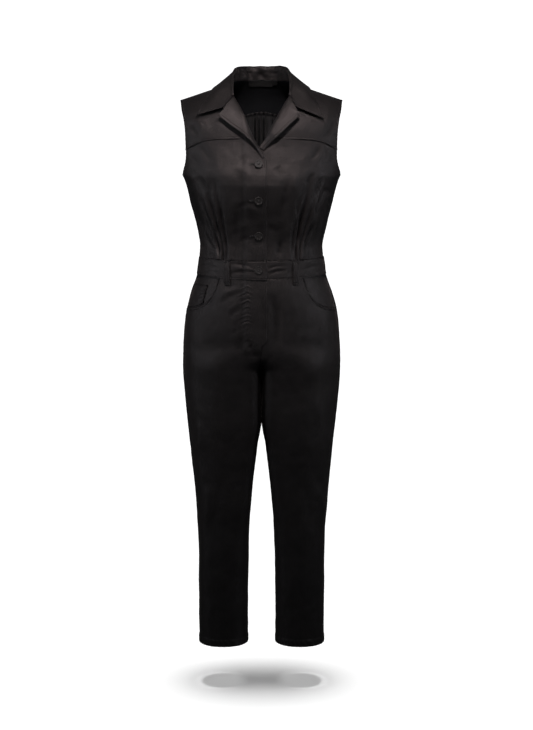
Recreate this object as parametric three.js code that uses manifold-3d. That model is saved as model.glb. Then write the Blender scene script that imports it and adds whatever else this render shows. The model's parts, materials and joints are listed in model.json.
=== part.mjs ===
// A sleeveless button-front jumpsuit, filled out as if worn, in millimetres.
// +Z is up, the front faces -Y, and the origin lies between the shoulders, where the wearer carries it.
// Side -1 is the wearer's right (X below 0) and side +1 the wearer's left.
import * as THREE from "three";
import { mergeVertices } from "three/addons/utils/BufferGeometryUtils.js";
import Module from "manifold-3d";

// Driving sizes.
const cloth = 1.5; // wall of one cloth panel
const bandCloth = 2.4; // waistband, which is cloth over interfacing
const bandStandOff = 0.8; // the waistband lies this far outside the panels
const bandOverlap = bandCloth + 0.9; // the right end of the waistband lies this far over the left one
const seam = 0.3; // air between two pieces that are sewn together
const chestLevel = -100; // above this height the body curves in to the shoulders
const capRise = 126; // cloth height from the chest level to the top of the shoulder
const ridgeDepth = 8; // the shoulder seam lies this far behind the side seams
const shoulderTop = 26;
const shoulderFall = 0.335; // drop of the shoulder seam for each millimetre out from the neck
const neckHalfWidth = 65;
const underarm = -190;
const waistSide = -378;
const waistDip = 2.5; // how much lower the waist seam is at the centre front
const waistbandHeight = 39;
const backRise = 3; // how much higher the waist seam is at the centre back
const bandDip = 4.5; // the waistband's lower edge sags this much more at the centre front
const crotch = -640;
// The legs start to part at a height, and the power sets how gently.
const parting = { front: { top: -560, power: 2.6 }, back: { top: -500, power: 2.6 } };
const hem = -1307;
const hemTurn = 18;
const hemSwell = 1.1; // the turned hem stands this far outside the leg
const placketEdge = 12; // the right front ends this far past the centre
const underEdge = 20; // the left front reaches this far under the right one
const placketLift = 2.3;
const flyEnd = -566;
const lapelHover = 11; // how far the outer edges of the lapels stand off the chest
const buttonLine = -6; // X of the button centres
const frontPower = 1.7;
const backPower = 2;

const black = { color: 0x1c1a1a, roughness: 0.62, metalness: 0 };
const buttonBlack = { color: 0x141313, roughness: 0.3, metalness: 0 };
const labelBlack = { color: 0x232222, roughness: 0.5, metalness: 0 };

// Rings of the body: half width, and depth in front of and behind the side seams.
const bodyRings = [
  { height: 26, halfWidth: 200, front: 98, back: 92, power: 2.3 },
  { height: -60, halfWidth: 200, front: 98, back: 92, power: 2.3 },
  { height: -100, halfWidth: 197, front: 98, back: 92, power: 2.3 },
  { height: -120, halfWidth: 194, front: 101, back: 94, power: 2.3 },
  { height: -158, halfWidth: 187, front: 111, back: 97, power: 2.3 },
  { height: -187, halfWidth: 184, front: 120, back: 98, power: 2.3 },
  { height: -199, halfWidth: 179, front: 121, back: 97.5, power: 2.3 },
  { height: -214, halfWidth: 174, front: 121, back: 97, power: 2.25 },
  { height: -251, halfWidth: 165.5, front: 115, back: 93, power: 2.2 },
  { height: -288, halfWidth: 155.7, front: 106, back: 88, power: 2.15 },
  { height: -325, halfWidth: 147, front: 99, back: 84, power: 2.1 },
  { height: -350, halfWidth: 143.2, front: 97, back: 83, power: 2.1 },
  { height: -382, halfWidth: 146, front: 98, back: 86, power: 2.1 },
  { height: -419, halfWidth: 151.5, front: 101, back: 95, power: 2.1 },
  { height: -457, halfWidth: 164.5, front: 105, back: 104, power: 2.15 },
  { height: -495, halfWidth: 175, front: 107, back: 114, power: 2.2 },
  { height: -532, halfWidth: 181, front: 107.5, back: 121, power: 2.2 },
  { height: -570, halfWidth: 184, front: 106, back: 123.5, power: 2.2 },
  { height: -605, halfWidth: 185.4, front: 102, back: 121, power: 2.2 },
  { height: -640, halfWidth: 186, front: 97.5, back: 116.5, power: 2.15 },
  { height: -665, halfWidth: 184.8, front: 94.5, back: 112.5, power: 2.1 },
];

// The legs touch near the crotch, so their sections are squarer on the inner side there.
const innerFlatness = 2.2; // times the power of the ring
const innerRoundHeight = -1150; // where the sections are even again
const innerFadeLength = 350;

// Rings of one leg below the crotch: its outer and inner sides, and its depths.
const legRings = [
  { height: -605, outer: 185.4, inner: 0.3, front: 102, back: 121, power: 2.2 },
  { height: -640, outer: 186, inner: 0.3, front: 97.5, back: 116.5, power: 2.15 },
  { height: -665, outer: 184.8, inner: 0.45, front: 94.5, back: 112.5, power: 2.1 },
  { height: -705, outer: 181.7, inner: 0.5, front: 91, back: 106, power: 2.1 },
  { height: -765, outer: 175.8, inner: 0.5, front: 85.5, back: 97.5, power: 2.1 },
  { height: -790, outer: 173.4, inner: 3.4, front: 83, back: 94.5, power: 2.1 },
  { height: -815, outer: 170.8, inner: 8.2, front: 80.5, back: 91.5, power: 2.1 },
  { height: -840, outer: 168, inner: 11.2, front: 78, back: 88, power: 2.1 },
  { height: -900, outer: 161.7, inner: 18.3, front: 73, back: 82, power: 2.1 },
  { height: -956, outer: 157.2, inner: 24, front: 70, back: 77, power: 2.1 },
  { height: -1015, outer: 153, inner: 28.9, front: 67, back: 73, power: 2.1 },
  { height: -1074, outer: 151.4, inner: 30.8, front: 65, back: 70, power: 2.1 },
  { height: -1153, outer: 151.1, inner: 32.6, front: 62, back: 67, power: 2.1 },
  { height: -1307, outer: 150.6, inner: 33.2, front: 58, back: 62, power: 2.1 },
];

// Seams and edges, each read at an angle from the centre or at a height.
const frontYokeSeam = [
  { angle: -10, height: -105 },
  { angle: 16, height: -105.5 },
  { angle: 35, height: -108 },
  { angle: 44, height: -112.5 },
  { angle: 56, height: -124 },
  { angle: 64, height: -133 },
];
const backYokeSeam = [
  { angle: 0, height: -74 },
  { angle: 40, height: -76 },
  { angle: 62, height: -82 },
];
const armholeEdge = [
  { height: -190, angle: 90 },
  { height: -186, angle: 83.5 },
  { height: -177, angle: 77.5 },
  { height: -165, angle: 71.6 },
  { height: -150, angle: 67.2 },
  { height: -131, angle: 64.6 },
  { height: -107, angle: 62.5 },
  { height: -81, angle: 61.9 },
  { height: -58, angle: 63.2 },
  { height: -31, angle: 66.6 },
  { height: 26, angle: 70.4 },
];
// The roll line and neck edge of each front, by height along the cloth.
const neckEdge = {
  "-1": [
    { height: -150, across: -placketEdge },
    { height: -125, across: 4.5 },
    { height: -101, across: 18 },
    { height: -60, across: 40 },
    { height: -31, across: 62 },
    { height: 26, across: neckHalfWidth },
  ],
  1: [
    { height: -156, across: -underEdge },
    { height: -125, across: -5 },
    { height: -101, across: 11 },
    { height: -60, across: 39 },
    { height: -31, across: 62 },
    { height: 26, across: neckHalfWidth },
  ],
};
// Lapel edges, across from the centre and up, from the break point to the collar.
const lapelShape = {
  "-1": {
    fold: [
      { at: 0, across: -6, height: -146 },
      { at: 0.2, across: 5.5, height: -125 },
      { at: 0.4, across: 19, height: -99 },
      { at: 0.72, across: 41, height: -47 },
      { at: 1, across: 62.5, height: -10 },
    ],
    edge: [
      { at: 0, across: -2, height: -150 },
      { at: 0.2, across: 14, height: -124 },
      { at: 0.4, across: 33, height: -101 },
      { at: 0.72, across: 68, height: -77 },
      { at: 1, across: 95, height: -57.5 },
    ],
  },
  1: {
    fold: [
      { at: 0, across: -0.5, height: -127 },
      { at: 0.25, across: 11.5, height: -99 },
      { at: 0.68, across: 40, height: -47 },
      { at: 1, across: 63, height: -9 },
    ],
    edge: [
      { at: 0, across: 6, height: -131 },
      { at: 0.25, across: 27, height: -109 },
      { at: 0.68, across: 60.5, height: -78 },
      { at: 1, across: 84.5, height: -57.5 },
    ],
  },
};
// The collar from the centre back (0) to its front edge (1): its roll, and its outer edge on the body.
const collarRoll = [
  { at: 0, x: 0, y: 59, z: 65 },
  { at: 0.2, x: 34, y: 55, z: 65.3 },
  { at: 0.35, x: 53.5, y: 39, z: 62.5 },
  { at: 0.5, x: 61.5, y: 12, z: 53.5 },
  { at: 0.65, x: 64, y: -18, z: 34.5 },
  { at: 0.82, x: 64, y: -43, z: 13 },
  { at: 1, x: 63.4, y: -58.5, z: -5.5 },
];
const collarBackEdge = [
  { at: 0, across: 0, height: 18 },
  { at: 0.2, across: 45, height: 14 },
  { at: 0.35, across: 78, height: 8 },
  { at: 0.5, across: 110, height: 8.5 },
];
const collarFrontEdge = {
  "-1": [
    { at: 0.5, across: 110, height: 8.5 },
    { at: 0.65, across: 121, height: -8 },
    { at: 0.82, across: 133, height: -31 },
    { at: 1, across: 146, height: -56 },
  ],
  1: [
    { at: 0.5, across: 110, height: 8.5 },
    { at: 0.65, across: 119, height: -9 },
    { at: 0.82, across: 129, height: -34 },
    { at: 1, across: 139, height: -62.5 },
  ],
};
const notchAt = { "-1": 0.64, 1: 0.62 }; // share of the lapel's top edge that the collar is sewn to
const collarHover = { back: 3.4, front: 7.5 }; // how far the leaf's edge stands off the shoulders

// Tucks at the front waist, by the angle that they leave the waist at and the angle that they reach.
const frontTucks = {
  "-1": [
    { waist: 34.2, top: 37.5, reach: -178, depth: 3 },
    { waist: 37, top: 50, reach: -185, depth: 3.6 },
    { waist: 41, top: 56, reach: -230, depth: 2 },
  ],
  1: [
    { waist: 29.8, top: 32, reach: -225, depth: 1.8 },
    { waist: 33, top: 39.5, reach: -178, depth: 3.6 },
    { waist: 36.6, top: 50, reach: -185, depth: 2.8 },
  ],
};
const facingDepth = cloth + 0.7; // how far the pocket facing lies behind the front
const facingFrom = 0.42; // share of the front's width where the facing starts
const coinPocket = { from: 0.575, to: 0.97, top: -438.5, wall: 1, off: 0.6 };

// Belt loops, by the angle from the centre where each crosses the waistband.
const beltLoops = [
  { name: "right_front", side: -1, isBack: false, angle: 31.6 },
  { name: "left_front", side: 1, isBack: false, angle: 31.6 },
  { name: "right_back", side: -1, isBack: true, angle: 42 },
  { name: "left_back", side: 1, isBack: true, angle: 42 },
  { name: "centre_back", side: 1, isBack: true, angle: 0 },
];
const loopHalfWidth = 6.2;
// The loop's outer face, by how far down the loop it lies and how far it stands off the body.
const loopProfile = [
  { down: 0, off: 2.8 },
  { down: 7, off: 3.6 },
  { down: 20, off: 5 },
  { down: 34, off: 4.9 },
  { down: 45, off: 3.8 },
  { down: 58, off: 2.3 },
];
const loopTop = -379;

const buttonHeights = [-162, -243, -323.5, -402.5];
const buttonRadius = 9.4;
// Half of the button's section, from its axis to the rim and round to the back.
const buttonProfile = [
  { radius: 0, height: 2.1 },
  { radius: 0.66 * buttonRadius, height: 2.1 },
  { radius: 0.76 * buttonRadius, height: 3.1 },
  { radius: 0.93 * buttonRadius, height: 3.1 },
  { radius: buttonRadius, height: 2.3 },
  { radius: buttonRadius, height: 1.3 },
  { radius: 0.8 * buttonRadius, height: 0.2 },
  { radius: 0, height: 0 },
];
const buttonHole = { radius: 1.15, offset: 2.1 };

const neckLabel = { from: -31, to: 26.5, top: 0.6, drop: 15, wall: 0.8 };
const sizeTab = { from: 27.2, to: 38, top: 0.6, drop: 12, wall: 0.8 };
const backTucks = [
  { waist: 26, top: 24, reach: -230, depth: 2.4 },
  { waist: 31, top: 34, reach: -240, depth: 2.4 },
];
const backGathers = { count: 10, halfSpan: 52, depth: 2, fade: 130 };

const pocketCurve = [
  { across: 101.5, height: -424 },
  { across: 104.5, height: -443 },
  { across: 110, height: -462 },
  { across: 118, height: -475.5 },
  { across: 130, height: -484.5 },
  { across: 147, height: -490 },
  { across: 168, height: -494 },
  { across: 178, height: -495.5 },
];
const pocketFlare = 0.15; // how much wider than the waistband seam the opening reads at the side seam

const clamp = THREE.MathUtils.clamp;
const lerp = THREE.MathUtils.lerp;
const rad = THREE.MathUtils.degToRad;
const deg = THREE.MathUtils.radToDeg;
const ease = (t) => THREE.MathUtils.smoothstep(t, 0, 1);

// Reads a table at a value of its key column, on a smooth curve through its rows.
function readTable(table, key, value) {
  const rows = table[0][key] < table.at(-1)[key] ? table : [...table].reverse();
  const at = clamp(value, rows[0][key], rows.at(-1)[key]);
  let i = 0;
  while (i < rows.length - 2 && at > rows[i + 1][key]) i += 1;
  const span = rows[i + 1][key] - rows[i][key];
  const t = (at - rows[i][key]) / span;
  const slope = (j, column) => {
    const a = rows[Math.max(j - 1, 0)];
    const b = rows[Math.min(j + 1, rows.length - 1)];
    return (b[column] - a[column]) / (b[key] - a[key]);
  };
  const result = {};
  for (const column of Object.keys(rows[0])) {
    const a = rows[i][column];
    const b = rows[i + 1][column];
    const m0 = slope(i, column) * span;
    const m1 = slope(i + 1, column) * span;
    const blend = t * t * (3 - 2 * t);
    const bend = t * (1 - t) * ((1 - t) * m0 - t * m1);
    result[column] = lerp(a, b, blend) + bend;
  }
  return result;
}

// How deep a rounded ring is at a share of its half width.
const ringDepth = (share, power) => Math.pow(Math.max(1 - Math.pow(Math.abs(share), power), 0), 1 / power);

// Height of the shoulder top at a distance from the centre. At the back it rises to the nape.
function ridgeHeight(across, isBack) {
  const x = Math.abs(across);
  const slope = shoulderTop - shoulderFall * (x - 62);
  const nape = isBack ? 37 * Math.pow(Math.max(1 - Math.pow(x / 72, 2), 0), 2) : 0;
  return Math.min(slope, shoulderTop) + nape;
}

// A point of the bodice's outer face. Height runs along the cloth: it is Z up to the chest level.
function bodyPoint(side, isBack, across, height) {
  const ring = readTable(bodyRings, "height", height);
  const facing = isBack ? 1 : -1;
  const flat = isBack ? ring.back : ring.front;
  const depth = facing * Math.max(flat * ringDepth(across / ring.halfWidth, ring.power), seam / 2);
  if (height <= chestLevel) return new THREE.Vector3(side * across, depth, height);
  const curve = rad(clamp(((height - chestLevel) / capRise) * 90, 0, 90));
  const power = isBack ? backPower : frontPower;
  const rise = Math.pow(Math.sin(curve), 2 / power);
  const lean = Math.pow(Math.cos(curve), 2 / power);
  const top = ridgeHeight(across, isBack);
  return new THREE.Vector3(
    side * across,
    ridgeDepth + facing * Math.max(Math.abs(depth - ridgeDepth) * lean, seam / 2),
    chestLevel + (top - chestLevel) * rise,
  );
}

// Turns a true height on the bodice into a height along the cloth.
function clothHeight(isBack, across, z) {
  if (z <= chestLevel) return z;
  const share = clamp((z - chestLevel) / (ridgeHeight(across, isBack) - chestLevel), 0, 1);
  const power = isBack ? backPower : frontPower;
  return chestLevel + (capRise * deg(Math.asin(Math.pow(share, power / 2)))) / 90;
}

const halfWidthAt = (height) => readTable(bodyRings, "height", height).halfWidth;
const acrossAt = (angle, height) => halfWidthAt(height) * Math.sin(rad(angle));
const angleAt = (across, height) => deg(Math.asin(clamp(across / halfWidthAt(height), -1, 1)));

// The outward direction of a surface given as a function of two numbers.
function normalOf(surface, a, b, stepA, stepB, outward) {
  const alongA = surface(a + stepA, b).sub(surface(a - stepA, b));
  const alongB = surface(a, b + stepB).sub(surface(a, b - stepB));
  const normal = alongA.cross(alongB).normalize();
  return normal.dot(outward(surface(a, b))) < 0 ? normal.negate() : normal;
}
function awayFromAxis(p) {
  const up = p.z > chestLevel ? (p.z - chestLevel) * 0.6 : 0;
  return new THREE.Vector3(p.x * 0.4, p.y, up);
}

// A point that stands off the bodice, given by its distance across and its true height.
function overBody(side, isBack, across, z, hover) {
  const height = clothHeight(isBack, across, z);
  const surface = (a, h) => bodyPoint(side, isBack, a, h);
  const low = Math.min(height, chestLevel + capRise - 4);
  const normal = normalOf(surface, across, low, 1, 1, awayFromAxis);
  return surface(across, height).addScaledVector(normal, hover);
}

// Soft valleys with a ridge beside them, which run up from the waist seam.
function tuckOffset(tucks, angle, height) {
  let offset = 0;
  for (const tuck of tucks) {
    const climb = clamp((height - waistSide) / (tuck.reach - waistSide), 0, 1);
    const centre = lerp(tuck.waist, tuck.top, climb);
    const width = lerp(1.5, 3.2, climb);
    const fade = 1 - ease((climb - 0.35) / 0.65);
    const valley = Math.exp(-Math.pow((angle - centre) / width, 2));
    const ridge = Math.exp(-Math.pow((angle - centre - 1.6 * width) / width, 2));
    offset += tuck.depth * fade * (0.7 * ridge - valley);
  }
  return offset;
}

// Closes a grid of outer points and its walls' thickness into one solid.
function shellGeometry(grid, wall) {
  const rows = grid.length;
  const columns = grid[0].length;
  const wallAt = typeof wall === "function" ? wall : () => wall;
  const outer = grid.map((row) => row.map((cell) => cell.point));
  const behind = (cell, depth) => cell.point.clone().addScaledVector(cell.normal, -depth);
  const inner = grid.map((row, i) => row.map((cell) => behind(cell, wallAt(i))));
  const points = [...outer.flat(), ...inner.flat()];
  const index = (layer, i, j) => layer * rows * columns + i * columns + j;
  const triangles = [];
  const quad = (a, b, c, d) => {
    const even = points[a].distanceTo(points[c]) <= points[b].distanceTo(points[d]);
    triangles.push(...(even ? [a, b, c, a, c, d] : [a, b, d, b, c, d]));
  };
  for (let i = 0; i < rows - 1; i += 1) {
    for (let j = 0; j < columns - 1; j += 1) {
      quad(index(0, i, j), index(0, i, j + 1), index(0, i + 1, j + 1), index(0, i + 1, j));
      quad(index(1, i, j), index(1, i + 1, j), index(1, i + 1, j + 1), index(1, i, j + 1));
    }
  }
  const rim = [];
  for (let j = 0; j < columns - 1; j += 1) rim.push([0, j]);
  for (let i = 0; i < rows - 1; i += 1) rim.push([i, columns - 1]);
  for (let j = columns - 1; j > 0; j -= 1) rim.push([rows - 1, j]);
  for (let i = rows - 1; i > 0; i -= 1) rim.push([i, 0]);
  rim.forEach(([i, j], k) => {
    const [ni, nj] = rim[(k + 1) % rim.length];
    quad(index(0, ni, nj), index(0, i, j), index(1, i, j), index(1, ni, nj));
  });
  const geometry = new THREE.BufferGeometry();
  const coordinates = points.flatMap((p) => p.toArray());
  geometry.setAttribute("position", new THREE.Float32BufferAttribute(coordinates, 3));
  geometry.setIndex(signedVolume(points, triangles) < 0 ? triangles.reverse() : triangles);
  geometry.computeVertexNormals();
  return geometry;
}

function signedVolume(points, triangles) {
  let volume = 0;
  for (let k = 0; k < triangles.length; k += 3) {
    const [a, b, c] = [0, 1, 2].map((n) => points[triangles[k + n]]);
    volume += a.dot(b.clone().cross(c)) / 6;
  }
  return volume;
}

// Evaluates a surface over rows and columns, with the outward direction taken from its neighbours.
// Walls stand square to the seam plane along edges that meet it.
function surfaceGrid(rows, columns, surface, outward) {
  const points = rows.map((v) => columns.map((u) => surface(u, v)));
  return points.map((row, i) =>
    row.map((point, j) => {
      const above = points[Math.min(i + 1, points.length - 1)];
      const below = points[Math.max(i - 1, 0)];
      const alongU = row[Math.min(j + 1, row.length - 1)].clone().sub(row[Math.max(j - 1, 0)]);
      const alongV = above[j].clone().sub(below[j]);
      const normal = alongU.cross(alongV).normalize();
      if (normal.dot(outward(point)) < 0) normal.negate();
      const edgeColumn = j === 0 || j === row.length - 1;
      const onSideSeam = edgeColumn && Math.abs(point.y) < seam;
      const onRidge = Math.abs(point.y - ridgeDepth) < seam && point.z > chestLevel;
      const onShoulderSeam = i === points.length - 1 && onRidge;
      if (onSideSeam || onShoulderSeam) normal.setY(0).normalize();
      return { point, normal };
    }),
  );
}

function steps(count, from = 0, to = 1) {
  return Array.from({ length: count + 1 }, (_, k) => lerp(from, to, k / count));
}

// Shares from 0 to 1, with most of them between two values where the cloth is folded.
function crowdedSteps(from, to, before, within, after) {
  return [...steps(before, 0, from), ...steps(within, from, to).slice(1), ...steps(after, to, 1).slice(1)];
}

const wasm = await Module();
wasm.setup();
const garment = new THREE.Group();

function addPiece(name, geometry, look = black) {
  const mesh = new THREE.Mesh(geometry, new THREE.MeshStandardMaterial(look));
  mesh.name = name;
  garment.add(mesh);
  return mesh;
}

const sideName = (side) => (side < 0 ? "right" : "left");

// Height of the waist seam at an angle from the centre.
function waistHeight(angle, isBack) {
  const share = Math.pow(Math.cos(rad(angle)), 2);
  return waistSide - (isBack ? -backRise : waistDip) * share;
}

// Height of the seam under the waistband, for a leg panel that reaches a distance across.
function bandSeamHeight(across, isBack, drop) {
  const angle = angleAt(across, -425);
  return waistHeight(angle, isBack) - bandHeight(angle, isBack) - drop;
}

function bandHeight(angle, isBack) {
  const sag = isBack ? 0 : bandDip;
  return waistbandHeight + sag * Math.pow(Math.cos(rad(angle)), 2);
}

// The right front lies over the left one near the centre.
function overlapLift(side, across) {
  return side < 0 ? placketLift * ease((46 - across) / 16) : 0;
}

// Share of the way from the centre edge to the armhole or side seam, as an angle.
function frontAngle(side, share, height) {
  const inner = angleAt(readTable(neckEdge[side], "height", height).across, height);
  return lerp(inner, readTable(armholeEdge, "height", height).angle, share);
}

function frontSeamHeight(side, share) {
  return readTable(frontYokeSeam, "angle", frontAngle(side, share, -110)).height;
}

const backSeamHeight = (angle) => readTable(backYokeSeam, "angle", angle).height;

function frontBodyPoint(side, share, height, offset) {
  const angle = frontAngle(side, share, height);
  const across = acrossAt(angle, height);
  const surface = (a, h) => bodyPoint(side, false, a, h);
  const normal = normalOf(surface, across, Math.min(height, 20), 0.5, 0.5, awayFromAxis);
  return surface(across, height).addScaledVector(normal, offset(angle, across, height));
}

// The lower front runs from the waist seam to the yoke seam and the armhole.
function addLowerFront(side) {
  const rows = [...steps(7, 0, 0.5), 0.54, 0.6, 0.69, 0.82, 1];
  const columns = crowdedSteps(0.33, 0.56, 5, 13, 4);
  const tucks = frontTucks[side];
  const folds = (angle, across, height) => tuckOffset(tucks, angle, height) + overlapLift(side, across);
  const surface = (u, v) => {
    const angle = lerp(-4, 90, u);
    const bottom = waistHeight(angle, false) + seam / 2;
    const top = frontSeamHeight(side, u) - seam / 2;
    const height = v < 0.5 ? lerp(bottom, underarm, v / 0.5) : lerp(underarm, top, (v - 0.5) / 0.5);
    return frontBodyPoint(side, u, height, folds);
  };
  const grid = surfaceGrid(rows, columns, surface, awayFromAxis);
  addPiece(`${sideName(side)}_front`, shellGeometry(grid, cloth));
}

// The front yoke runs from the yoke seam over the chest to the shoulder seam.
function addFrontYoke(side) {
  const columns = steps(9);
  const rows = [0, 0.15, 0.3, 0.45, 0.6, 0.74, 0.86, 0.95, 1];
  const surface = (u, v) => {
    const height = lerp(frontSeamHeight(side, u) + seam / 2, chestLevel + capRise, v);
    return frontBodyPoint(side, u, height, (a, across) => overlapLift(side, across));
  };
  const grid = surfaceGrid(rows, columns, surface, awayFromAxis);
  addPiece(`${sideName(side)}_front_yoke`, shellGeometry(grid, cloth));
}

// The neck edge of the back yoke, as a height along the cloth.
const neckAngle = angleAt(neckHalfWidth, chestLevel + capRise);
const backNeckHeight = (angle) =>
  lerp(-25, chestLevel + capRise, Math.pow(Math.min(Math.abs(angle) / neckAngle, 1), 2.5));

function backBodyPoint(angle, height, offset) {
  const side = angle < 0 ? -1 : 1;
  const across = acrossAt(Math.abs(angle), height);
  const surface = (a, h) => bodyPoint(side, true, a, h);
  const normal = normalOf(surface, Math.max(across, 0.6), Math.min(height, 20), 0.5, 0.5, awayFromAxis);
  if (across < 0.6) normal.x = 0;
  return surface(across, height).addScaledVector(normal.normalize(), offset);
}

const backYokeReach = 57; // angle that the back yoke's columns are laid out over
function addBackYoke() {
  const half = [0, 4, 8, 11.5, 14.5, 17, neckAngle - 0.6, 24, 31, 38, 45, 52, backYokeReach];
  const angles = [...half.slice(1).reverse().map((a) => -a), ...half];
  const shares = angles.map((a) => a / backYokeReach);
  const rows = [0, 0.16, 0.32, 0.48, 0.62, 0.75, 0.87, 0.95, 1];
  const surface = (u, v) => {
    const share = Math.abs(u);
    const armhole = (h) => readTable(armholeEdge, "height", h).angle;
    const spreadAt = (h) => lerp(backYokeReach, armhole(h), Math.pow(share, 6));
    const bottom = backSeamHeight(share * spreadAt(-76)) + seam / 2;
    const height = lerp(bottom, backNeckHeight(share * backYokeReach), v);
    return backBodyPoint(u * spreadAt(height), height, 0);
  };
  addPiece("back_yoke", shellGeometry(surfaceGrid(rows, shares, surface, awayFromAxis), cloth));
}

// Small even waves under the back yoke seam, which die out down the back.
function gatherOffset(across, height, seamHeight) {
  const { count, halfSpan, depth, fade } = backGathers;
  const inside = ease((halfSpan - Math.abs(across)) / 12);
  const below = seamHeight - height;
  const pressed = 1 - 0.55 * ease(1 - below / 8);
  const down = Math.exp(-Math.pow(below / fade, 2)) * pressed;
  return depth * inside * down * Math.cos((Math.PI * across * count) / halfSpan);
}

// The back hangs from the yoke seam, gathered at its centre and tucked at the waist.
function addBack() {
  const gathered = steps(4 * backGathers.count, -0.31, 0.31);
  const wing = [0.36, 0.42, 0.49, 0.57, 0.67, 0.78, 0.89, 1];
  const columns = [...wing.map((u) => -u).reverse(), ...gathered, ...wing];
  const rows = [...steps(5, 0, 0.5), 0.53, 0.57, 0.63, 0.72, 0.82, 0.91, 1];
  const surface = (u, v) => {
    const share = Math.abs(u);
    const top = backSeamHeight(share * readTable(armholeEdge, "height", -76).angle) - seam / 2;
    const bottom = waistHeight(share * 90, true) + seam / 2;
    const height = v < 0.5 ? lerp(bottom, underarm, v / 0.5) : lerp(underarm, top, (v - 0.5) / 0.5);
    const angle = share * readTable(armholeEdge, "height", height).angle;
    const across = acrossAt(angle, height) * Math.sign(u);
    const folds = gatherOffset(across, height, top) + tuckOffset(backTucks, angle, height);
    return backBodyPoint(angle * Math.sign(u), height, folds);
  };
  addPiece("back", shellGeometry(surfaceGrid(rows, columns, surface, awayFromAxis), cloth));
}

// A lapel turns back from the roll line and stands off the chest.
function lapelHoverAt(u, v) {
  const outward = Math.sin((Math.PI / 2) * Math.pow(u, 0.7));
  return 2.4 + (lapelHover - 2.4) * outward * ease(v / 0.35) + 1.2 * ease(1 - v / 0.25);
}

function lapelPoint(side, u, v) {
  const fold = readTable(lapelShape[side].fold, "at", v);
  const edge = readTable(lapelShape[side].edge, "at", v);
  const across = lerp(fold.across, edge.across, u);
  const z = lerp(fold.height, edge.height, u);
  return overBody(side, false, across, z, lapelHoverAt(u, v) + overlapLift(side, across));
}

function addLapel(side) {
  const split = notchAt[side];
  const columns = [0, split / 2, split, (1 + split) / 2, 1];
  const grid = surfaceGrid(steps(11), columns, (u, v) => lapelPoint(side, u, v), awayFromAxis);
  addPiece(`${sideName(side)}_lapel`, shellGeometry(grid, cloth));
}

// Where the collar is sewn to the neck edge.
function neckPoint(side, at) {
  if (at <= 0.5) {
    const angle = neckAngle * Math.pow(at / 0.5, 0.9);
    const height = backNeckHeight(angle);
    const point = bodyPoint(side, true, acrossAt(angle, height), height);
    return point.add(new THREE.Vector3(0, -0.4, 0.9));
  }
  const height = lerp(chestLevel + capRise, -31, (at - 0.5) / 0.5);
  const across = readTable(neckEdge[side], "height", height).across;
  const point = bodyPoint(side, false, across, height);
  const front = (at - 0.5) / 0.5;
  return point.add(new THREE.Vector3(-side * 0.4, -1.4 * front, 1.1 + 0.6 * front));
}

// A collar section: up inside the neck, over the roll and out along the leaf.
const leafAt = 4 / 6; // share of the section where the leaf starts
const notchLine = 0.4; // share of the leaf that is sewn to the lapel
function collarSection(side, at, samples) {
  const roll = readTable(collarRoll, "at", at);
  const top = new THREE.Vector3(side * roll.x, roll.y, roll.z);
  const foot = neckPoint(side, at);
  const rim = readTable(at <= 0.5 ? collarBackEdge : collarFrontEdge[side], "at", at);
  const nearShoulder = Math.exp(-Math.pow((at - 0.5) / 0.13, 2));
  const hover = lerp(collarHover.back, collarHover.front, ease((at - 0.6) / 0.4)) + 1.6 * nearShoulder;
  const edge = overBody(side, at <= 0.5, rim.across, rim.height, hover);
  const outward = edge.clone().sub(foot).normalize();
  const half = 3.1;
  const standTop = top.clone().addScaledVector(outward, -0.2).lerp(foot, 0.16);
  const leafStart = top.clone().addScaledVector(outward, 2 * half);
  leafStart.z -= 3;
  const fall = edge.clone().sub(leafStart);
  const bow = fall.clone().cross(new THREE.Vector3(0, 0, 1)).cross(fall).normalize();
  const middle = leafStart.clone().lerp(edge, 0.5).addScaledVector(bow, lerp(3, 5, at) - 4.5 * nearShoulder);
  const crest = top.clone().addScaledVector(outward, half);
  crest.z += 0.4;
  const path = [foot, foot.clone().lerp(standTop, 0.5), standTop, crest, leafStart, middle, edge];
  const curve = new THREE.CatmullRomCurve3(path, false, "centripetal");
  const dip = ease((at - 0.78) / 0.22);
  const gorge = (u) => lapelPoint(side, u, 1).add(new THREE.Vector3(side * 0.9, 0, 1));
  const corner = gorge(notchAt[side]);
  return samples.map((s) => {
    const point = curve.getPoint(s);
    if (s <= leafAt) return point;
    const line = (s - leafAt) / (1 - leafAt);
    const sewn = gorge(notchAt[side] * clamp(line / notchLine, 0, 1));
    const free = corner.clone().lerp(edge, Math.max(line - notchLine, 0) / (1 - notchLine));
    return point.lerp(line < notchLine ? sewn : free, dip);
  });
}

function addCollar() {
  const leaf = [0.2, 0.4, 0.68, 1].map((line) => lerp(leafAt, 1, line));
  const samples = [0, 1 / 6, 2 / 6, 2.5 / 6, 3 / 6, 3.5 / 6, leafAt, ...leaf];
  const half = [0, 0.1, 0.2, 0.28, 0.35, 0.42, 0.47, 0.5, 0.53, 0.58, 0.65, 0.73, 0.8, 0.86, 0.91, 0.96, 1];
  const stations = [...half.slice(1).reverse().map((at) => [-1, at]), ...half.map((at) => [1, at])];
  const sections = stations.map(([side, at]) => collarSection(side, at, samples));
  const grid = sections.map((row, i) =>
    row.map((point, j) => {
      const next = sections[Math.min(i + 1, sections.length - 1)][j];
      const last = sections[Math.max(i - 1, 0)][j];
      const alongSection = row[Math.min(j + 1, row.length - 1)].clone().sub(row[Math.max(j - 1, 0)]);
      return { point, normal: next.clone().sub(last).cross(alongSection).normalize() };
    }),
  );
  addPiece("collar", shellGeometry(grid, cloth));
}

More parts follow.
